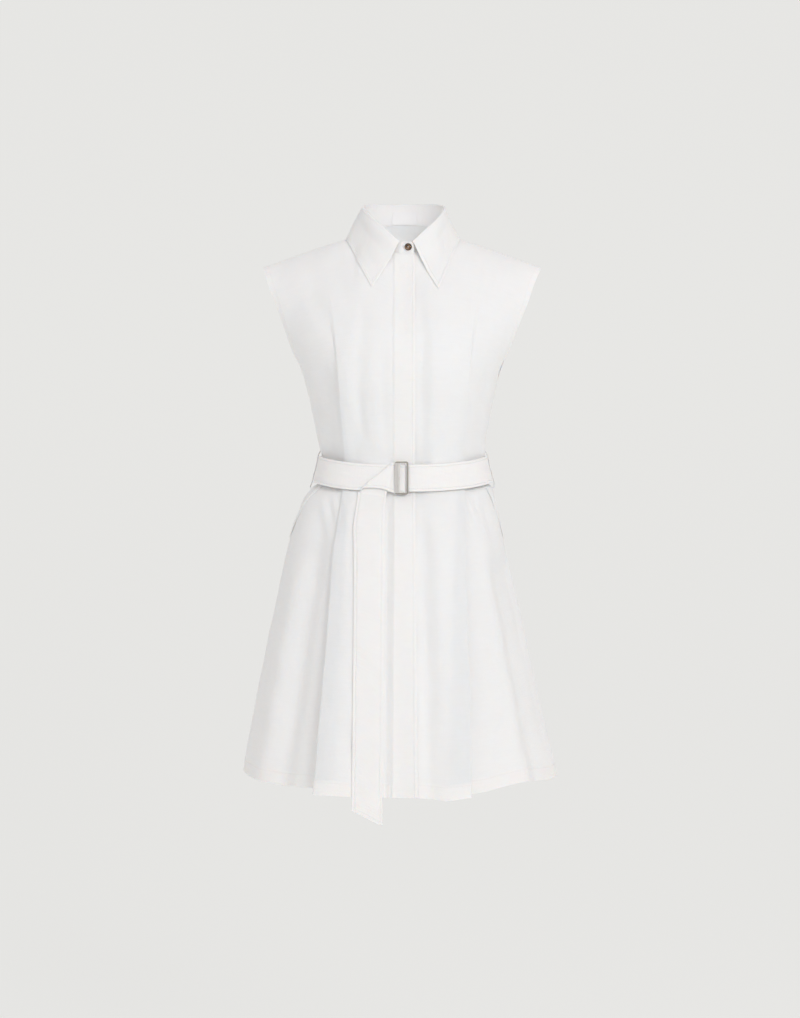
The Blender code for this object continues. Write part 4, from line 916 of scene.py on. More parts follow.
def centre_rows(part, levels, xs):
    """Points and outward directions of the front at distances from the centre line, row by row."""
    spots = np.empty((*xs.shape, 6))
    for i, level in enumerate(levels):
        for side in (-1, 1):
            points, outs, _, _ = half_row(part, side, "front", level, (24, 2))
            mine = xs[i] < 0 if side < 0 else xs[i] >= 0
            rows = np.hstack([points, outs])[:24]
            for k in range(6):
                spots[i, mine, k] = np.interp(np.abs(xs[i, mine]), side * rows[:, 0], rows[:, k])
    return spots[..., :3], unit(spots[..., 3:])


width = PLACKET_X[1] - PLACKET_X[0]
share_across = strip_steps(width, 12) / width
bodice_levels = np.append(BODICE_ROWS[BODICE_ROWS < 1.99], 1.993)[::-1]
xs = PLACKET_X[0] + width * share_across + np.zeros((len(bodice_levels), 1))
upper, upper_outs = centre_rows("bodice", bodice_levels, xs)
centre = int(np.argmin(np.abs(xs[0])))
for j in np.flatnonzero(xs[0] > 0):     # the top is cut level across, not with the neckline
    at_top = smooth((bodice_levels - 1.62) / 0.32)
    wanted = mix(upper[:, j, 2], upper[:, centre, 2], at_top)
    column = np.hstack([upper[:, j], upper_outs[:, j]])[::-1]
    moved = np.stack([np.interp(wanted, column[:, 2], column[:, k]) for k in range(6)], axis=1)
    upper[:, j], upper_outs[:, j] = moved[:, :3], unit(moved[:, 3:])
flare = PLACKET_FLARE * SKIRT_ROWS[1:, None]
xs = (PLACKET_X[0] - flare) + (width + 2 * flare) * share_across
lower, lower_outs = centre_rows("skirt", SKIRT_ROWS[1:], xs)
middle, outs = np.concatenate([upper, lower]), np.concatenate([upper_outs, lower_outs])
from_edge = np.minimum(share_across, 1.0 - share_across) * width
raised = np.full(middle.shape[:2], PLACKET_OFF)
for z in HIDDEN_BUTTON["first"] - HIDDEN_BUTTON["apart"] * np.arange(HIDDEN_BUTTON["count"]):
    away = np.hypot(middle[..., 0] - HIDDEN_BUTTON["x"], middle[..., 2] - z)
    inside = HIDDEN_BUTTON["radius"] + HIDDEN_BUTTON["slope"] / 2 - away
    raised += HIDDEN_BUTTON["height"] * smooth(inside / HIDDEN_BUTTON["slope"])
calm = smooth(from_edge / 0.006)
raised += calm * ripple(middle[..., 0], middle[..., 2], 41, 0.045, 0.00018)
middle = middle + outs * raised[..., None]
sewn_down = np.where(share_across < 0.5, CLOSE_STITCH_IN, STITCH_IN)
thick = sewn_edge(from_edge, PLACKET_THICK, sewn_down) + np.zeros(middle.shape[:2])
sewn_sheet("placket", middle, outs, thick,
           [column_line(middle, outs, column, 0.0006, 2, -2) for column in (4, -9)])

# ================================================================ collar stand
# An interfaced band of the cotton round the neck seam.  Its right end is rounded and buttons over
# the left one, with a stitched buttonhole behind the button.
COLLAR_THICK = 0.0012
ROLL_HEIGHT = table("""
    turn    0    45    75  82.3    90 107.8   115   131   150    166    171    175    180
    z    .062 .0588 .0522 .0495 .0462 .0378 .0332 .0218 .0056 -.0098 -.0142 -.0162 -.0168
""")
ROLL = {"half_width": 0.0610, "front": -0.0790, "back": 0.0570, "lean": 0.0050, "radius": 0.0016}
UNDER_ROLL = 0.0027             # the stand ends this far below the top of the collar
LEAF_END = 171.0                # the collar's ends, in degrees from the nape
STAND_ENDS = (-193.0, 188.0)    # the stand's right end and its left one
STAND_CORNER = 0.0080           # how far its right end is rounded
STAND_LOW = (0.0007, 0.0012)    # how far it reaches below the neck seam, and how much more on the right
STAND_UNDER = 0.0024            # how far its left end is set in, under the right one,
STAND_OVER = 0.0014             # and how far the right end is set out


def stand_top(turn):
    """The top of the stand at an angle from the nape, in degrees."""
    angle = np.radians(turn)
    middle, reach = (ROLL["front"] + ROLL["back"]) / 2, (ROLL["back"] - ROLL["front"]) / 2
    x = ROLL["half_width"] * np.sin(angle) + ROLL["lean"] * ((1 - np.cos(angle)) / 2) ** 2
    z = along(ROLL_HEIGHT["turn"], ROLL_HEIGHT["z"], from_nape(turn))
    z = z - UNDER_ROLL * smooth((180.0 - np.abs(turn)) / 12.0)
    return np.stack([x, middle + reach * np.cos(angle), z], axis=-1)


def neck_outward(turn):
    """The level direction away from the neck."""
    run = stand_top(turn + 0.5) - stand_top(turn - 0.5)
    return unit(np.stack([-run[..., 1], run[..., 0], np.zeros_like(run[..., 0])], axis=-1))


def stand_grid(turns, rises):
    """Points of the stand at angles from the nape and shares of its height."""
    low, high = neck_seam(turns), stand_top(turns)
    low[:, 2] -= STAND_LOW[0] + STAND_LOW[1] * smooth((-turns - 160.0) / 12.0)
    under = STAND_UNDER * smooth((turns - 135.0) / 25.0)
    over = STAND_OVER * smooth((-turns - 168.0) / 10.0)
    shift = neck_outward(turns) * (over - under)[:, None]
    return np.stack([mix(low, high, rise) + shift for rise in rises], axis=1)


def neck_side(turns, middle, sign):
    """The outward side of a grid round the neck: 1 is away from the neck, -1 towards it."""
    return np.broadcast_to(neck_outward(turns)[:, None, :] * sign, middle.shape)


def stand_line(first, last, above, sign):
    """A line for stitches on the stand, so far above its seam, on its outer or inner side."""
    turns = np.linspace(first, last, 120)
    low, high = stand_grid(turns, (0.0, 1.0)).transpose(1, 0, 2)
    height = np.linalg.norm(high - low, axis=1)
    line = mix(low, high, (above / height)[:, None])
    return line + neck_outward(turns) * sign * 0.00062, neck_outward(turns) * sign


turns = np.concatenate([STAND_ENDS[0] + np.array([0.0, 0.15, 0.4, 0.8, 1.3, 2.0, 2.8, 3.7, 4.7, 5.8, 7.0]),
                        np.arange(-185.0, 187.1, 1.5), [STAND_ENDS[1]]])
rises = np.array([0.0, 0.02, 0.05, 0.08, 0.12, 0.2, 0.3, 0.42, 0.55, 0.68, 0.8, 0.9, 0.96, 1.0])
middle = stand_grid(turns, rises)
corner = np.clip(lengths(middle[:, 0]) / STAND_CORNER, 0.0, 1.0)
kept = 0.12 + 0.88 * np.sqrt(1.0 - (1.0 - corner) ** 2)
middle = middle[:, :1] + (middle - middle[:, :1]) * kept[:, None, None]
rise = lengths(middle[len(turns) // 2])[-1] * rises[None, :]
thick = sewn_edge(0.002 + rise + np.zeros(middle.shape[:2]), COLLAR_THICK, 0.0038)
sewn_sheet("collar_stand", middle, neck_side(turns, middle, 1), thick,
           [stand_line(-191.0, -150.0, 0.0018, 1), stand_line(-120.0, 120.0, 0.0018, -1)])

# ================================================================ collar
# Two layers of interfaced cotton, turned out at the edges and topstitched.  It is caught in the top
# of the stand, turns over and falls to two points.
LEAF_LIFT = 0.0022              # its outer edge, off the form of the bodice
LEAF_BOW = {-1: 0.0008, 1: -0.0022}     # a quarter of the bulge of its fall, behind
LEAF_BOW_FRONT = 0.0026
LEAF_GAP = 0.0017               # how far its middle lies off the cloth below
LEAF_MOVED = (-0.008, 0.004)    # how far it may be moved for that
LEAF_TIP = {-1: (0.0477, -0.0864), 1: (0.0530, -0.0901)}    # distance from the centre, and height
LEAF_BACK = table("""
    turn    0    22     45     65   82.3
    x       0  .033   .063   .082  .0878
    z    .003 .0005 -.0065 -.0085 -.0037
""")


def bodice_at(side, face, x, z):
    """Share and level of the bodice point at a distance from the centre and a height."""
    spot = np.array([min(abs(x) / 0.2, 0.9), 1.8])
    for _ in range(14):
        here = bodice_form(side, face, spot[:1], spot[1])[0]
        miss = np.array([x - side * here[0], z - here[2]])
        step = 1e-4
        right = bodice_form(side, face, spot[:1] + step, spot[1])[0] - here
        above = bodice_form(side, face, spot[:1], spot[1] - step)[0] - here
        slope = np.array([[side * right[0], -side * above[0]], [right[2], -above[2]]]) / step
        spot = spot + np.clip(np.linalg.solve(slope, miss), -0.1, 0.1)
        spot = np.clip(spot, (0.0, 0.2), (1.0, 2.0))
    return spot


def leaf_edge(side, turn):
    """The collar's outer edge, laid on the bodice and lifted off it."""
    face = "front" if turn > SHOULDER_TURN else "back"
    if face == "front":
        share = (turn - SHOULDER_TURN) / (LEAF_END - SHOULDER_TURN)
        x = mix(LEAF_BACK["x"][-1], LEAF_TIP[side][0], share)
        z = mix(LEAF_BACK["z"][-1], LEAF_TIP[side][1], share)
    else:
        x = along(LEAF_BACK["turn"], LEAF_BACK["x"], turn)
        z = along(LEAF_BACK["turn"], LEAF_BACK["z"], turn)
    share, level = bodice_at(side, face, x, z)
    points, _, out = surface("bodice", side, face, np.array([share]), level)
    return (points + out * LEAF_LIFT)[0]


def away_from(points, edge):
    """Distance of each point of a grid from an edge line."""
    start, step = edge[:-1], np.diff(edge, axis=0)
    offset = points.reshape(-1, 1, 3) - start
    share = np.clip((offset * step).sum(-1) / (step * step).sum(-1), 0.0, 1.0)
    return np.linalg.norm(offset - share[..., None] * step, axis=-1).min(1).reshape(points.shape[:-1])


def crossings(lines, away, others, level):
    """Where the distance from an edge first passes a value on each line, clear of other edges."""
    found = []
    for line, far, other in zip(lines, away, others):
        k = int(np.argmax(far > level))
        share = (level - far[k - 1]) / (far[k] - far[k - 1])
        if mix(other[k - 1], other[k], share) > level:
            found.append(mix(line[k - 1], line[k], share))
    return np.array(found)


def all_below(names):
    """One search tree over several pieces."""
    spots, faces = [], []
    for name in names:
        mesh = bpy.data.objects[name].data
        faces += [[len(spots) + k for k in face.vertices] for face in mesh.polygons]
        spots += [vertex.co[:] for vertex in mesh.vertices]
    return BVHTree.FromPolygons(spots, faces)


front_steps = np.array([0.0, 0.2, 0.5, 0.9, 1.6, 2.4, 3.1, 3.6, 4.0, 4.4, 4.8, 5.3, 6.0, 7.0])
half_turns = np.concatenate([np.arange(0.0, LEAF_END - 7.5, 2.0), (LEAF_END - front_steps)[::-1]])
turns = np.concatenate([-half_turns[:0:-1], half_turns])
knots = np.concatenate([np.linspace(0.0, SHOULDER_TURN, 26), np.linspace(83.6, LEAF_END, 26)])
edges = {side: np.array([leaf_edge(side, knot) for knot in knots]) for side in WORD}
rows = []
for turn in turns:
    side = -1 if turn < 0 else 1
    out = neck_outward(np.array([turn]))[0]
    up = np.array([0.0, 0.0, 1.0])
    top = stand_grid(np.array([turn]), (1.0,))[0, 0] - np.array([0.0, 0.0, 0.0004])
    centre = top + out * ROLL["radius"]
    arc = [centre + ROLL["radius"] * (math.cos(a) * out + math.sin(a) * up)
           for a in np.linspace(math.pi, 0.0, 10)]
    edge = np.array([along(knots, edges[side][:, k], abs(turn)) for k in range(3)])
    fall_length = np.linalg.norm(edge - arc[-1])
    steps = np.concatenate([np.linspace(0.0, fall_length - EDGE_STEPS[-1], 22)[1:-1],
                            fall_length - EDGE_STEPS[::-1]])
    bow = mix(LEAF_BOW[side], LEAF_BOW_FRONT, smooth((abs(turn) - 95.0) / 35.0)) * unit(out + up)
    rows.append(arc + [mix(arc[-1], edge, fall) + bow * 4 * fall * (1 - fall)
                       for fall in steps / fall_length])
middle = np.array(rows)
outward = facing(middle, neck_side(turns, middle, 1))
arc_rows = 12
free = smooth((np.arange(middle.shape[1]) - arc_rows) / 10.0)
# From a little past the shoulder seams on, the collar is laid down on the pieces below it.
pieces_below = all_below(("bodice_back_cloth", "bodice_front_right_cloth", "bodice_front_left_cloth",
                          "placket_cloth", "collar_stand_cloth"))
lies = smooth((np.abs(turns) - 92.0) / 30.0)[:, None] * smooth((np.arange(middle.shape[1]) - 9.0) / 9.0)
moved = np.zeros(middle.shape[:2])
start_off = 0.02
for i, j in np.argwhere(lies > 0.0):
    above = middle[i, j] + outward[i, j] * start_off
    far = pieces_below.ray_cast(above.tolist(), (-outward[i, j]).tolist())[3]
    moved[i, j] = moved[i, j - 1] if far is None else LEAF_GAP + start_off - far
for _ in range(4):
    moved[1:-1] = (moved[:-2] + 2.0 * moved[1:-1] + moved[2:]) / 4.0
    moved[:, 1:-1] = (moved[:, :-2] + 2.0 * moved[:, 1:-1] + moved[:, 2:]) / 4.0
wavy = ripple(middle[..., 0], middle[..., 2], 53, 0.050, 0.00030) * free
middle = middle + outward * (wavy + np.clip(moved, *LEAF_MOVED) * lies)[..., None]
from_outer = away_from(middle, middle[:, -1])
from_fronts = np.minimum(away_from(middle, middle[0, arc_rows:]), away_from(middle, middle[-1, arc_rows:]))
thick = sewn_edge(np.minimum(from_outer, from_fronts), COLLAR_THICK)
thick[:, :2] *= 0.84            # the edge caught between the layers of the stand
collar = cloth_piece("collar_cloth", middle, outward, thick, cotton, "collar")
collar_tree = BVHTree.FromObject(collar, bpy.context.evaluated_depsgraph_get())


def laid_on(tree, path, towards):
    """A line dropped on a piece's outer face, with the directions out of it."""
    found = [tree.find_nearest((point + way * 0.003).tolist())[:2] for point, way in zip(path, towards)]
    out = np.array([normal for _, normal in found])
    return np.array([spot for spot, _ in found]) + out * 0.00006, out


lines = [crossings(middle[:, ::-1], from_outer[:, ::-1], from_fronts[:, ::-1], STITCH_IN)]
across = middle.transpose(1, 0, 2)[arc_rows:]
for flip in (1, -1):
    lines.append(crossings(across[:, ::flip], from_fronts.T[arc_rows:, ::flip],
                           from_outer.T[arc_rows:, ::flip], STITCH_IN))
towards = [unit(line * np.array([1.0, 1.0, 0.0]) + np.array([0.0, 0.02, 0.03])) for line in lines]
stitches = stitch_rows("collar_stitches", [laid_on(collar_tree, line, way)
                                           for line, way in zip(lines, towards)])
cut_from(middle, (stitches,))

# ================================================================ neck label
# A bare strip of woven satin tape inside the back of the stand, its ends turned under and its
# corners tacked down.
LABEL_TURNS = (-15.0, 19.5)
LABEL_RISE = (0.06, 0.66)


def satin(name):
    """Label tape: fine bright ribs across, with a soft gloss."""
    material, shader, start = new_material(name, 0.42, Specular_IOR_Level=0.45, Sheen_Weight=0.2)
    place = start.node("ShaderNodeUVMap", {"uv_map": "weave"})
    ribs = (place.part(1) * (math.tau / 0.00042)).sine() * 0.5 + 0.5
    threads = place.noise((160.0, 2200.0, 1.0), 2.0)
    drive(shader, Base_Color=(ribs * 0.3 + threads * 0.7).blend((0.87, 0.87, 0.88), (0.97, 0.97, 0.98)),
          Normal=(ribs * 0.6 + threads).bump(0.00005), Roughness=threads * 0.2 + 0.36)
    return material


turns = np.linspace(*LABEL_TURNS, 48)
rises = np.linspace(*LABEL_RISE, 26)
middle = stand_grid(turns, rises)
inward = neck_side(turns, middle, -1)
puff = np.sin(math.pi * np.linspace(0.0, 1.0, 48))[:, None] ** 0.5 * 0.0003
belly = np.sin(math.pi * np.linspace(0.0, 1.0, 26))[None, :] * 0.0003
middle = middle + inward * (COLLAR_THICK / 2 + 0.0007 + puff + belly)[..., None]
ends = np.minimum(turns - LABEL_TURNS[0], LABEL_TURNS[1] - turns)[:, None]
thick = 0.00045 + 0.00025 * smooth((4.0 - ends) / 0.8) + np.zeros(middle.shape[:2])
label = cloth_piece("neck_label_tape", middle, inward, thick, satin("label tape"), "neck_label")
tacks = []
for i, inner in ((1, 3), (-2, -4)):
    for j in (2, -3):
        ends = middle[[i, inner], j] + inward[[i, inner], j] * 0.0004
        tacks.append((ends, inward[[i, inner], j]))
stitches = stitch_rows("neck_label_tacks", tacks, 0.0016, 0.0)
cut_from(middle, (stitches,))

# ================================================================ collar button
# A dark horn-like button with a raised rim and four holes, sewn on with white thread.  The
# buttonhole behind it is a slit with close stitches all round.
BUTTON = {"radius": 0.0054, "thick": 0.0022, "rim": 0.0011, "dish": 0.0006, "slope": 0.0007,
          "floor": 0.0010, "well": 0.00015, "holes": 0.0014, "hole": 0.00045}
BUTTONHOLE = {"half_length": 0.0058, "half_width": 0.0004, "bars": 76, "bar": 0.0010}


def horn(name):
    """Dark brown horn with lighter streaks, polished."""
    material, shader, start = new_material(name, 0.22, Coat_Weight=0.35, Coat_Roughness=0.12)
    place = start.node("ShaderNodeTexCoord", {}, {}, out=3)
    moved = start.node("ShaderNodeMapping", {}, {0: place, 1: (-0.8, 0.0, 2.6), 2: (0.3, 0.2, 0.7),
                                                 3: (170.0, 120.0, 260.0)})
    swirl = start.node("ShaderNodeTexNoise", {}, {"Vector": moved, "Scale": 1.0, "Detail": 3.0,
                                                  "Distortion": 1.4})
    fine = start.node("ShaderNodeTexNoise", {}, {"Vector": moved, "Scale": 7.0, "Detail": 3.0})
    colour = start.node("ShaderNodeValToRGB", {"stops": (
        (0.0, (0.014, 0.007, 0.004)), (0.42, (0.036, 0.016, 0.008)), (0.54, (0.150, 0.072, 0.034)),
        (0.68, (0.50, 0.31, 0.16)))}, {0: swirl * 0.85 + fine * 0.15})
    drive(shader, Base_Color=colour, Normal=fine.bump(0.00004, 0.4), Roughness=fine * 0.18 + 0.14)
    return material


def select_alone(obj):
    bpy.ops.object.select_all(action="DESELECT")
    obj.select_set(True)
    bpy.context.view_layer.objects.active = obj


def pick(obj, kind, wanted):
    """Selects only the faces whose normal, or the edges whose two ends, pass a test, for editing."""
    if bpy.context.object.mode == "EDIT":
        bpy.ops.object.mode_set(mode="OBJECT")
    select_alone(obj)
    bpy.ops.object.mode_set(mode="EDIT")
    bpy.ops.mesh.select_mode(type=kind)
    bpy.ops.mesh.select_all(action="DESELECT")
    bpy.ops.object.mode_set(mode="OBJECT")
    if kind == "FACE":
        for face in obj.data.polygons:
            face.select = bool(wanted(face.normal))
    else:
        for edge in obj.data.edges:
            edge.select = bool(wanted(*(obj.data.vertices[k].co for k in edge.vertices)))
    bpy.ops.object.mode_set(mode="EDIT")


def hard_piece(obj, name, material, node):
    """Applies a modelled piece's place, names it and gives it its material."""
    select_alone(obj)
    bpy.ops.object.transform_apply(location=True, rotation=True, scale=True)
    bpy.ops.object.shade_smooth_by_angle(angle=math.radians(40))
    obj.name = obj.data.name = name
    obj.data.materials.clear()
    obj.data.materials.append(material)
    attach(obj, "root")
    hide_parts(node)


bpy.ops.object.select_all(action="DESELECT")
bpy.ops.mesh.primitive_cylinder_add(vertices=64, radius=BUTTON["radius"], depth=BUTTON["thick"],
                                    location=(0.0, 0.0, BUTTON["thick"] / 2))
button = bpy.context.object
bpy.ops.object.transform_apply(location=True, rotation=True, scale=True)
pick(button, "FACE", lambda normal: normal.z > 0.9)
bpy.ops.mesh.inset(thickness=BUTTON["rim"])
bpy.ops.mesh.inset(thickness=BUTTON["slope"])
bpy.ops.transform.translate(value=(0.0, 0.0, -BUTTON["dish"]))
bpy.ops.mesh.inset(thickness=BUTTON["floor"])
bpy.ops.transform.translate(value=(0.0, 0.0, -BUTTON["well"]))
pick(button, "EDGE", lambda a, b: min(a.xy.length, b.xy.length) > BUTTON["radius"] - 1e-5
     and abs(a.z - b.z) < 1e-6)
bpy.ops.mesh.bevel(offset=0.0006, segments=5, profile=0.6)
bpy.ops.object.mode_set(mode="OBJECT")
drills = []
for x in (-1, 1):
    for y in (-1, 1):
        bpy.ops.object.select_all(action="DESELECT")
        bpy.ops.mesh.primitive_cylinder_add(
            vertices=16, radius=BUTTON["hole"], depth=0.01,
            location=(x * BUTTON["holes"] / 2, y * BUTTON["holes"] / 2, 0.0))
        drills.append(bpy.context.object)
for drill in drills:
    drilled = button.modifiers.new("hole", "BOOLEAN")
    drilled.object = drill
    bpy.context.view_layer.objects.active = button
    bpy.ops.object.modifier_apply(modifier=drilled.name)
    bpy.data.objects.remove(drill)
turns = np.array([-187.0, -184.0, -181.0])
patch = stand_grid(turns, (0.3, 0.6, 0.9))
out = facing(patch, neck_side(turns, patch, 1))[1, 1]
sideways = unit(np.cross(np.array([0.0, 0.0, 1.0]), out))
upright = np.cross(out, sideways)
seat = patch[1, 1] + out * (COLLAR_THICK / 2 + 0.0005)
place = [[*column, 0.0] for column in (sideways, upright, out)] + [[*seat, 1.0]]
button.matrix_world = Matrix(place).transposed()
hard_piece(button, "collar_button_horn", horn("brown horn"), "collar_button")
face_height = BUTTON["thick"] - BUTTON["dish"] - BUTTON["well"]
strands = []
for y in (1, -1):
    ends = [seat + (sideways + upright * y) * k * BUTTON["holes"] / 2 + out * (face_height + lift)
            for k, lift in ((-1, -0.0002), (0, 0.0003), (1, -0.0002))]
    strands.append((np.array(ends), np.array([out] * 3)))
stitch_rows("collar_button_thread", strands, 0.0022, 0.0, 0.00028)
hole_middle = seat - out * 0.00042 - sideways * 0.0022
bars = []
for angle in np.linspace(0.0, math.tau, BUTTONHOLE["bars"], endpoint=False):
    around = math.cos(angle), math.sin(angle)
    start = hole_middle + sideways * BUTTONHOLE["half_length"] * around[0]
    start = start + upright * BUTTONHOLE["half_width"] * around[1]
    way = unit(np.array([around[0] ** 7, math.copysign(abs(around[1]) ** 0.3, around[1])]))
    end = start + (sideways * way[0] + upright * way[1]) * BUTTONHOLE["bar"]
    bars.append((np.array([start, end]), np.array([out] * 2)))
stitch_rows("collar_buttonhole", bars, BUTTONHOLE["bar"], 0.0, 0.00022)

# ================================================================ belt loops
# Two narrow carriers of folded cotton over the belt at the side seams, caught above and below it.
LOOP_WIDTH = 0.0104
# How far out the belt lies, at its lower and its upper edge.
BELT_REACH = {"side": (0.1372, 0.1280), "front": (0.1051, 0.1024), "back": (0.0945, 0.0895)}
for side, word in WORD.items():
    top = along(BODY["z"], BODY[word], -0.3290) + 0.0012
    low = along(SKIRT_FORM["z"], SKIRT_FORM[word], -0.3850) + 0.0015
    lower, upper = BELT_REACH["side"]
    path = np.array([
        (low, -0.3845), (low + 0.0012, -0.3828), (lower + 0.0034, -0.3780), (lower + 0.0006, -0.3660),
        (upper + 0.0050, -0.3480), (upper + 0.0030, -0.3368), (upper + 0.0016, -0.3322),
        (top + 0.0010, -0.3292), (top, -0.3275),
    ])
    at = np.linspace(path[0, 1], path[-1, 1], 70)
    x = along(path[:, 1], path[:, 0], at)
    across = np.array([0.0, 0.0002, 0.0005, 0.0009, 0.0015, 0.0020, 0.0026, 0.0040, 0.0052])
    across = np.concatenate([across, LOOP_WIDTH - across[-2::-1]])
    middle = np.stack(np.broadcast_arrays(side * x[:, None], across[None, :] - LOOP_WIDTH / 2,
                                          at[:, None]), axis=-1)
    outs = np.broadcast_to(np.array([side, 0.0, 0.0]), middle.shape)
    thick = sewn_edge(np.minimum(across, LOOP_WIDTH - across), 0.0012, 0.0020) + np.zeros(middle.shape[:2])
    sewn_sheet(f"belt_loop_{word}", middle, outs, thick,
               [column_line(middle, outs, column, 0.0005) for column in (5, -6)])

# ================================================================ belt
# The dress's own belt: cotton folded double over interfacing and edge-stitched, drawn round the
# waist through the loops.  Its right end is caught on the slide, and the left one passes over it.
BELT_HALF = 0.0222              # half of its width
BELT_SEEN = 0.0200              # its half height round the waist, where it leans out over the hips
BELT_RAISED = 0.0028            # how far it has slipped up from its place
BELT_THICK = 0.0018
BELT_Z = {"side": -0.3582, "front": -0.3740, "back": -0.3520}
BELT_LAYER = 0.0027             # how far its left end stands off, over the right one,
BELT_SETTLES = 0.25             # and over which share of a quarter it comes down again
BELT_POWER = 2.6
TAIL_START = (0.0047, -0.3740)  # where the free end comes out from under the slide, in x and z
SLIDE_DIP = 0.0015              # how far the belt dips where it dives under the slide's left bar


def belt_line(side, face, shares, rise, out):
    """Points along the belt: rise is -1 at its lower edge and 1 at its upper edge."""
    width = mix(*BELT_REACH["side"], (rise + 1) / 2) + out
    depth = mix(*BELT_REACH[face], (rise + 1) / 2) + out
    x, fore = ring(width, depth, BELT_POWER, math.pi / 2, shares)
    z = mix(BELT_Z["side"], BELT_Z[face], (fore / depth) ** 2) + BELT_RAISED + rise * BELT_SEEN
    return np.stack([side * x, WAY[face] * fore, z], axis=-1)


def belt_share(x):
    """Share of the belt's front quarter at a distance from the centre line."""
    shares = np.linspace(0.0, 1.0, 401)
    return np.interp(x, belt_line(1, "front", shares, 0.0, 0.0)[:, 0], shares)


belt_rises = strip_steps(2 * BELT_HALF, 20) / BELT_HALF - 1.0
over_end = belt_share(TAIL_START[0] + 0.0003)
runs = [(-1, "front", np.linspace(belt_share(0.0015), 1.0, 70)),
        (-1, "back", np.linspace(1.0, 0.0, 60)[1:]),
        (1, "back", np.linspace(0.0, 1.0, 60)[1:]),
        (1, "front", np.linspace(1.0, over_end, 70)[1:])]
columns = []
for rise in belt_rises:
    line = []
    for side, face, shares in runs:
        for share in shares:
            over = BELT_LAYER * (1.0 - smooth((share - over_end) / BELT_SETTLES)) - SLIDE_DIP * (
                1.0 - smooth((share - over_end) / 0.022))
            over *= side > 0 and face == "front"
            line.append(belt_line(side, face, np.array([share]), rise, over)[0])
    columns.append(line)
middle = np.array(columns).transpose(1, 0, 2)
outs = facing(middle, middle * np.array([1.0, 1.0, 0.0]))
from_edge = BELT_HALF * (1.0 - np.abs(belt_rises))
distance = lengths(middle[:, len(belt_rises) // 2])[:, None]
from_end = np.minimum(distance, distance[-1] - distance)
# Long narrow wrinkles that run along it, then its broad uneven lie.
worn = ripple(distance / 5.0, belt_rises[None, :] * BELT_HALF / 0.6, 61, 0.011, 0.00016)
worn = worn + ripple(distance, belt_rises[None, :] * BELT_HALF, 62, 0.040, 0.00022)
middle = middle + outs * (worn * smooth(from_edge / 0.006) * smooth(from_end / 0.02))[..., None]
thick = sewn_edge(from_edge, BELT_THICK) + np.zeros(middle.shape[:2])
sewn_sheet("belt", middle, outs, thick,
           [column_line(middle, outs, column, 0.0008, 4) for column in (8, -9)])

# ================================================================ belt's free end
# The rest of the belt comes out of the slide to the wearer's right, is turned back over a slanting
# fold, and hangs down over the skirt to below the hem, where it is cut and stitched to a point.
TAIL_RISE = 8.8                 # how steeply it climbs to its fold, in degrees
TAIL_FOLD_AT = 0.0438
TAIL_FOLD_SLOPE = 40.4          # in degrees
TAIL_ROLL = (0.0014, 0.0027)    # radius of the fold at its upper and its lower end
TAIL_SHIFT = -0.0080            # how far it drifts outwards as it falls
TAIL_BULGE = -0.0045            # how far its outer edge swings out just below the fold,
TAIL_BULGE_AT = 0.030           # most of all this far below it
TAIL_WIDTH = 0.044              # its width as the two bends at the fold count it
TAIL_PINCH = 0.0046             # how far its lower edge is drawn up before the fold
TAIL_LENGTH = (0.5290, 0.5520)  # along its lower edge and its upper one, which hangs on the inside
TAIL_SLIDE = 0.0172             # it lies under the slide up to here,
TAIL_RAMP = (0.0100, 0.0075)    # and lifts clear of the belt over these lengths
ON_BELT = 0.0011                # from the middle of the belt, or of a skirt panel, to its outer face
ON_SKIRT = 0.0006
TAIL_OFF = 0.0014               # from that face to the middle of the free end


def belt_front_y(x, z):
    """How far forward the belt lies at a place, on its outer face."""
    rise = float(np.clip((z - BELT_Z["front"]) / BELT_HALF, -1.0, 1.0))
    return belt_line(-1, "front", np.array([belt_share(abs(x))]), rise, 0.0)[0, 1] - ON_BELT


def front_y(lines, x, z):
    """How far forward a panel lies at a place."""
    heights = np.array([np.interp(abs(x), np.abs(line[:, 0]), line[:, 2]) for line in lines])
    forward = np.array([np.interp(abs(x), np.abs(line[:, 0]), line[:, 1]) for line in lines])
    return float(np.interp(-z, -heights, forward)) - ON_SKIRT


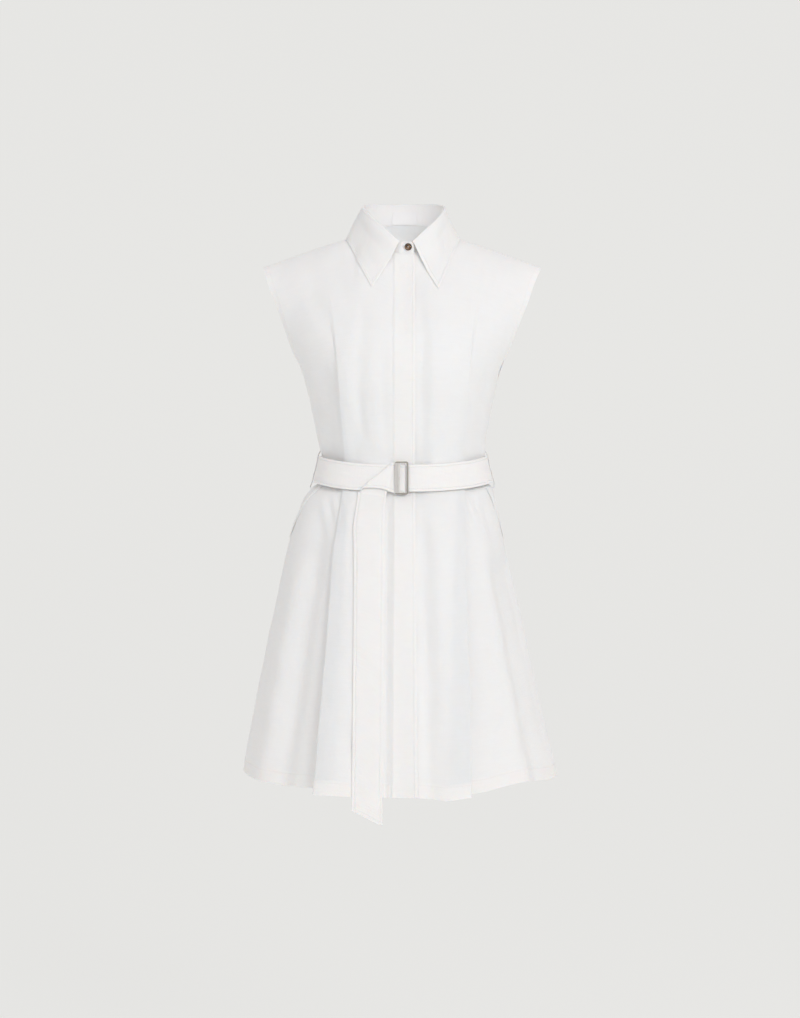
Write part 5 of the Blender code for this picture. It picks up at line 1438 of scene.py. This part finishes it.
def tail_spot(along_strip, across):
    """Place of a point of the free end as seen from the front, before it is laid on the dress.

    Also gives the radius of the fold there, and how far the fold sets the point back, from 0 to 1.
    """
    rise = math.radians(TAIL_RISE)
    ahead = np.array([-math.cos(rise), math.sin(rise)])
    upward = np.array([math.sin(rise), math.cos(rise)])
    start = np.array(TAIL_START)
    flat = start + ahead * along_strip + upward * across
    flat[0] -= upward[0] * across * (1.0 - smooth(along_strip / 0.02))
    pinch = smooth((along_strip - 0.012) / 0.022) * (1.0 - smooth((along_strip - 0.040) / 0.030))
    pinch *= TAIL_PINCH * smooth(0.25 - across / TAIL_WIDTH)
    slope = math.radians(TAIL_FOLD_SLOPE)
    line = np.array([math.cos(slope), math.sin(slope)])
    beyond = np.array([-math.sin(slope), math.cos(slope)])
    hinge = start + ahead * TAIL_FOLD_AT
    on_line = float(np.dot(flat - hinge, line))
    past = float(np.dot(flat - hinge, beyond))
    radius = mix(TAIL_ROLL[0], TAIL_ROLL[1], np.clip(0.5 - on_line / 0.058, 0.0, 1.0))
    wound = past + radius
    raised = np.array([0.0, pinch])
    if wound < 0:
        return flat + raised, radius, 0.0
    if wound < math.pi * radius:
        angle = wound / radius
        reach = radius * (math.sin(angle) - 1.0)
        return hinge + line * on_line + beyond * reach + raised, radius, (1.0 - math.cos(angle)) / 2
    fallen = wound - math.pi * radius
    spot = hinge + line * on_line - beyond * (radius + fallen)
    shift = TAIL_SHIFT * smooth(fallen / 0.045)
    below = (hinge[1] - spot[1]) / TAIL_BULGE_AT
    shift += TAIL_BULGE * smooth(0.5 - across / TAIL_WIDTH) * below * math.exp(1.0 - below) * (below > 0)
    return spot + np.array([shift, pinch]), radius, 1.0


lines = [half_row("skirt", -1, "front", level, (24, 2))[0][:27]
         for level in (0.0, 0.030, 0.053, 0.075, 0.11, 0.16, 0.22, 0.30, 0.39, 0.49, 0.59, 0.69, 0.79,
                       0.89, 1.0)]
across = belt_rises * BELT_HALF
longest = max(TAIL_LENGTH)
tip_steps = longest - EDGE_STEPS[::-1]
steps = np.concatenate([np.linspace(0.0, 0.108, 84), np.linspace(0.110, tip_steps[0], 84)[:-1], tip_steps])
rows = []
for step in steps:
    row = []
    for offset in across:
        share = (offset + BELT_HALF) / (2 * BELT_HALF)
        shorter = smooth((step - 0.11) / 0.25) * (longest - mix(*TAIL_LENGTH, share))
        spot, radius, back = tail_spot(step - shorter, offset)
        belt_y, skirt_y = belt_front_y(*spot), front_y(lines, *spot)
        below = smooth((BELT_Z["front"] + 0.012 - spot[1]) / 0.035)
        rest_y = mix(belt_y, min(belt_y, skirt_y), below)
        free = smooth((step - TAIL_SLIDE) / mix(*TAIL_RAMP, share))
        layer = rest_y - TAIL_OFF - 0.0004 * below * free
        layer += SLIDE_DIP * smooth((spot[0] - 0.0016) / 0.0018)
        row.append([spot[0], layer - 2 * radius * (1.0 - back) * free, spot[1]])
    rows.append(row)
middle = np.array(rows)
outs = facing(middle, np.broadcast_to(np.array([0.0, -1.0, 0.0]), middle.shape))
from_side = BELT_HALF - np.abs(across)[None, :]
from_tip = (longest - steps)[:, None]
lie = ripple(steps[:, None], across[None, :], 71, 0.060, 0.00050) * smooth((steps[:, None] - 0.12) / 0.05)
lie = lie + ripple(steps[:, None] / 3.0, across[None, :], 72, 0.016, 0.00010)
middle = middle + outs * (lie * smooth(from_side / 0.005))[..., None]
stitched_row = len(steps) - 9
lines = []
for face in (1, -1):            # the turned part shows its other face, so both carry stitches
    for path in ((slice(0, stitched_row + 1), 8), (slice(0, stitched_row + 1), -9),
                 (stitched_row, slice(8, -8))):
        lines.append((middle[path] + outs[path] * 0.00075 * face, outs[path] * face))
sewn_sheet("belt_tail", middle, outs, sewn_edge(np.minimum(from_side, from_tip), BELT_THICK),
           lines)

# ================================================================ slide
# A flat frame of brushed metal over the belt: a broad bar on the right that holds the belt's end,
# and a slimmer one on the left.  The free end is drawn through it.
SLIDE_X = (-0.0122, 0.0078)
SLIDE_Z = (-0.3956, -0.3466)
WINDOW_X = (-0.0054, 0.0052)
WINDOW_Z = (-0.3922, -0.3488)
SLIDE_THICK = 0.0020


def brushed(name):
    """Metal brushed along its bars, with painted shade and dark reflection on the slim bar and at both
    ends.
    """
    material, shader, start = new_material(name, 0.30, Metallic=1.0)
    place = start.node("ShaderNodeTexCoord", {}, {}, out=3)
    brush = place.noise((5200.0, 2400.0, 90.0), 2.0)
    broad = place.noise((900.0, 400.0, 22.0), 2.0)
    height = place.part(2) + 0.3711     # from the middle of the frame, in metres
    # painted shade and dark reflection: the colour is darkened at the top and bottom ends and on the slim
    # bar
    ends = ((height * height - 0.00048) * 30000.0).held()
    dark = ((place.part(0) - 0.0050) * 1500.0).held() + ends    # the slim bar starts at x 0.0050
    brushed_tone_and_painted_shade = (brush * 0.55 + broad * 0.55 + 0.15).held() * (dark.held() * -0.75 + 1.0)
    drive(shader, Base_Color=brushed_tone_and_painted_shade.blend((0.30, 0.28, 0.24), (0.96, 0.95, 0.93)),
          Normal=brush.bump(0.00006, 0.5), Roughness=brush * 0.22 + 0.20)
    return material


def rounded_block(xs, y, thick, zs, corner):
    """A block between two x and two z values, with its upright corners rounded."""
    bpy.ops.object.select_all(action="DESELECT")
    bpy.ops.mesh.primitive_cube_add(size=1.0, location=(sum(xs) / 2, y, sum(zs) / 2),
                                    scale=(xs[1] - xs[0], thick, zs[1] - zs[0]))
    block = bpy.context.object
    bpy.ops.object.transform_apply(location=True, rotation=True, scale=True)
    pick(block, "EDGE", lambda a, b: abs(a.y - b.y) > thick / 2)
    bpy.ops.mesh.bevel(offset=corner, segments=8, profile=0.5)
    bpy.ops.object.mode_set(mode="OBJECT")
    return block


slide_y = belt_line(1, "front", np.array([0.0]), -1.0, BELT_LAYER)[0, 1] - 0.0014 - SLIDE_THICK / 2
slide = rounded_block(SLIDE_X, slide_y, SLIDE_THICK, SLIDE_Z, 0.0030)
cutter = rounded_block(WINDOW_X, slide_y, 0.02, WINDOW_Z, 0.0009)
opened = slide.modifiers.new("window", "BOOLEAN")
opened.object = cutter
bpy.context.view_layer.objects.active = slide
bpy.ops.object.modifier_apply(modifier=opened.name)
bpy.data.objects.remove(cutter)
soft = slide.modifiers.new("edges", "BEVEL")
soft.width, soft.segments, soft.limit_method = 0.00085, 5, "ANGLE"
bpy.ops.object.modifier_apply(modifier=soft.name)
hard_piece(slide, "belt_slide_metal", brushed("brushed metal"), "belt_slide")

# ================================================================ stage, light and camera
# A pale sweep far below and behind the dress, one broad soft box in front on the right, weaker ones
# on the left and above, even light from all round, and a small lamp inside the neck for the nape.
stage = bpy.data.meshes.new("sweep")
floor_z, wall_y, bend = -1.45, 4.2, 1.6
profile = [(-6.0, floor_z), (wall_y - bend, floor_z)]
profile += [(wall_y - bend + bend * math.sin(a), floor_z + bend * (1 - math.cos(a)))
            for a in np.linspace(0.1, math.pi / 2, 14)]
profile += [(wall_y, 5.0)]
sweep_points = [(x, y, z) for x in (-9.0, 9.0) for y, z in profile]
count = len(profile)
stage.from_pydata(sweep_points, [], [(i, count + i, count + i + 1, i + 1) for i in range(count - 1)])
stage.shade_smooth()
sweep = bpy.data.objects.new("sweep", stage)
bpy.context.scene.collection.objects.link(sweep)
paper, shader, start = new_material("pale paper", 1.0, Specular_IOR_Level=0.0)
shader.inputs["Base Color"].default_value = (0.25, 0.25, 0.246, 1.0)
shader.inputs["Emission Color"].default_value = (0.799, 0.799, 0.783, 1.0)
shader.inputs["Emission Strength"].default_value = 0.767
stage.materials.append(paper)

world = bpy.data.worlds.new("studio")
bpy.context.scene.world = world
world.use_nodes = True
world.node_tree.nodes["Background"].inputs["Color"].default_value = (1.0, 0.968, 0.960, 1.0)
world.node_tree.nodes["Background"].inputs["Strength"].default_value = 0.61


def soft_light(name, place, aim, size, watts):
    """A square soft box aimed at a point."""
    lamp = bpy.data.lights.new(name, "AREA")
    lamp.shape, lamp.size, lamp.energy = "SQUARE", size, watts
    holder = bpy.data.objects.new(name, lamp)
    bpy.context.scene.collection.objects.link(holder)
    holder.location = place
    way = np.array(aim) - np.array(place)
    holder.rotation_euler = (math.atan2(math.hypot(way[0], way[1]), -way[2]), 0.0,
                             math.atan2(way[1], way[0]) - math.pi / 2)
    return holder


soft_light("key", (1.35, -2.85, 0.8), (0.0, 0.0, -0.5), 1.1, 31.0)
soft_light("fill", (-1.8, -2.4, 0.2), (0.0, 0.0, -0.5), 2.0, 6.0)
soft_light("top", (0.1, -2.0, 2.4), (0.0, 0.0, -0.1), 1.4, 3.0)
soft_light("inside", (0.0, -0.035, -0.110), (0.0, 0.052, -0.018), 0.06, 0.038)

camera_data = bpy.data.cameras.new("camera")
camera_data.sensor_fit = "VERTICAL"
camera_data.sensor_height = 36.0
camera_data.lens = 68.97
camera = bpy.data.objects.new("camera", camera_data)
camera.location = (-0.0046, -3.0, -0.417)
camera.rotation_euler = (math.pi / 2, 0.0, 0.0)
bpy.context.scene.collection.objects.link(camera)
bpy.context.scene.camera = camera
bpy.context.scene.view_settings.view_transform = "Standard"
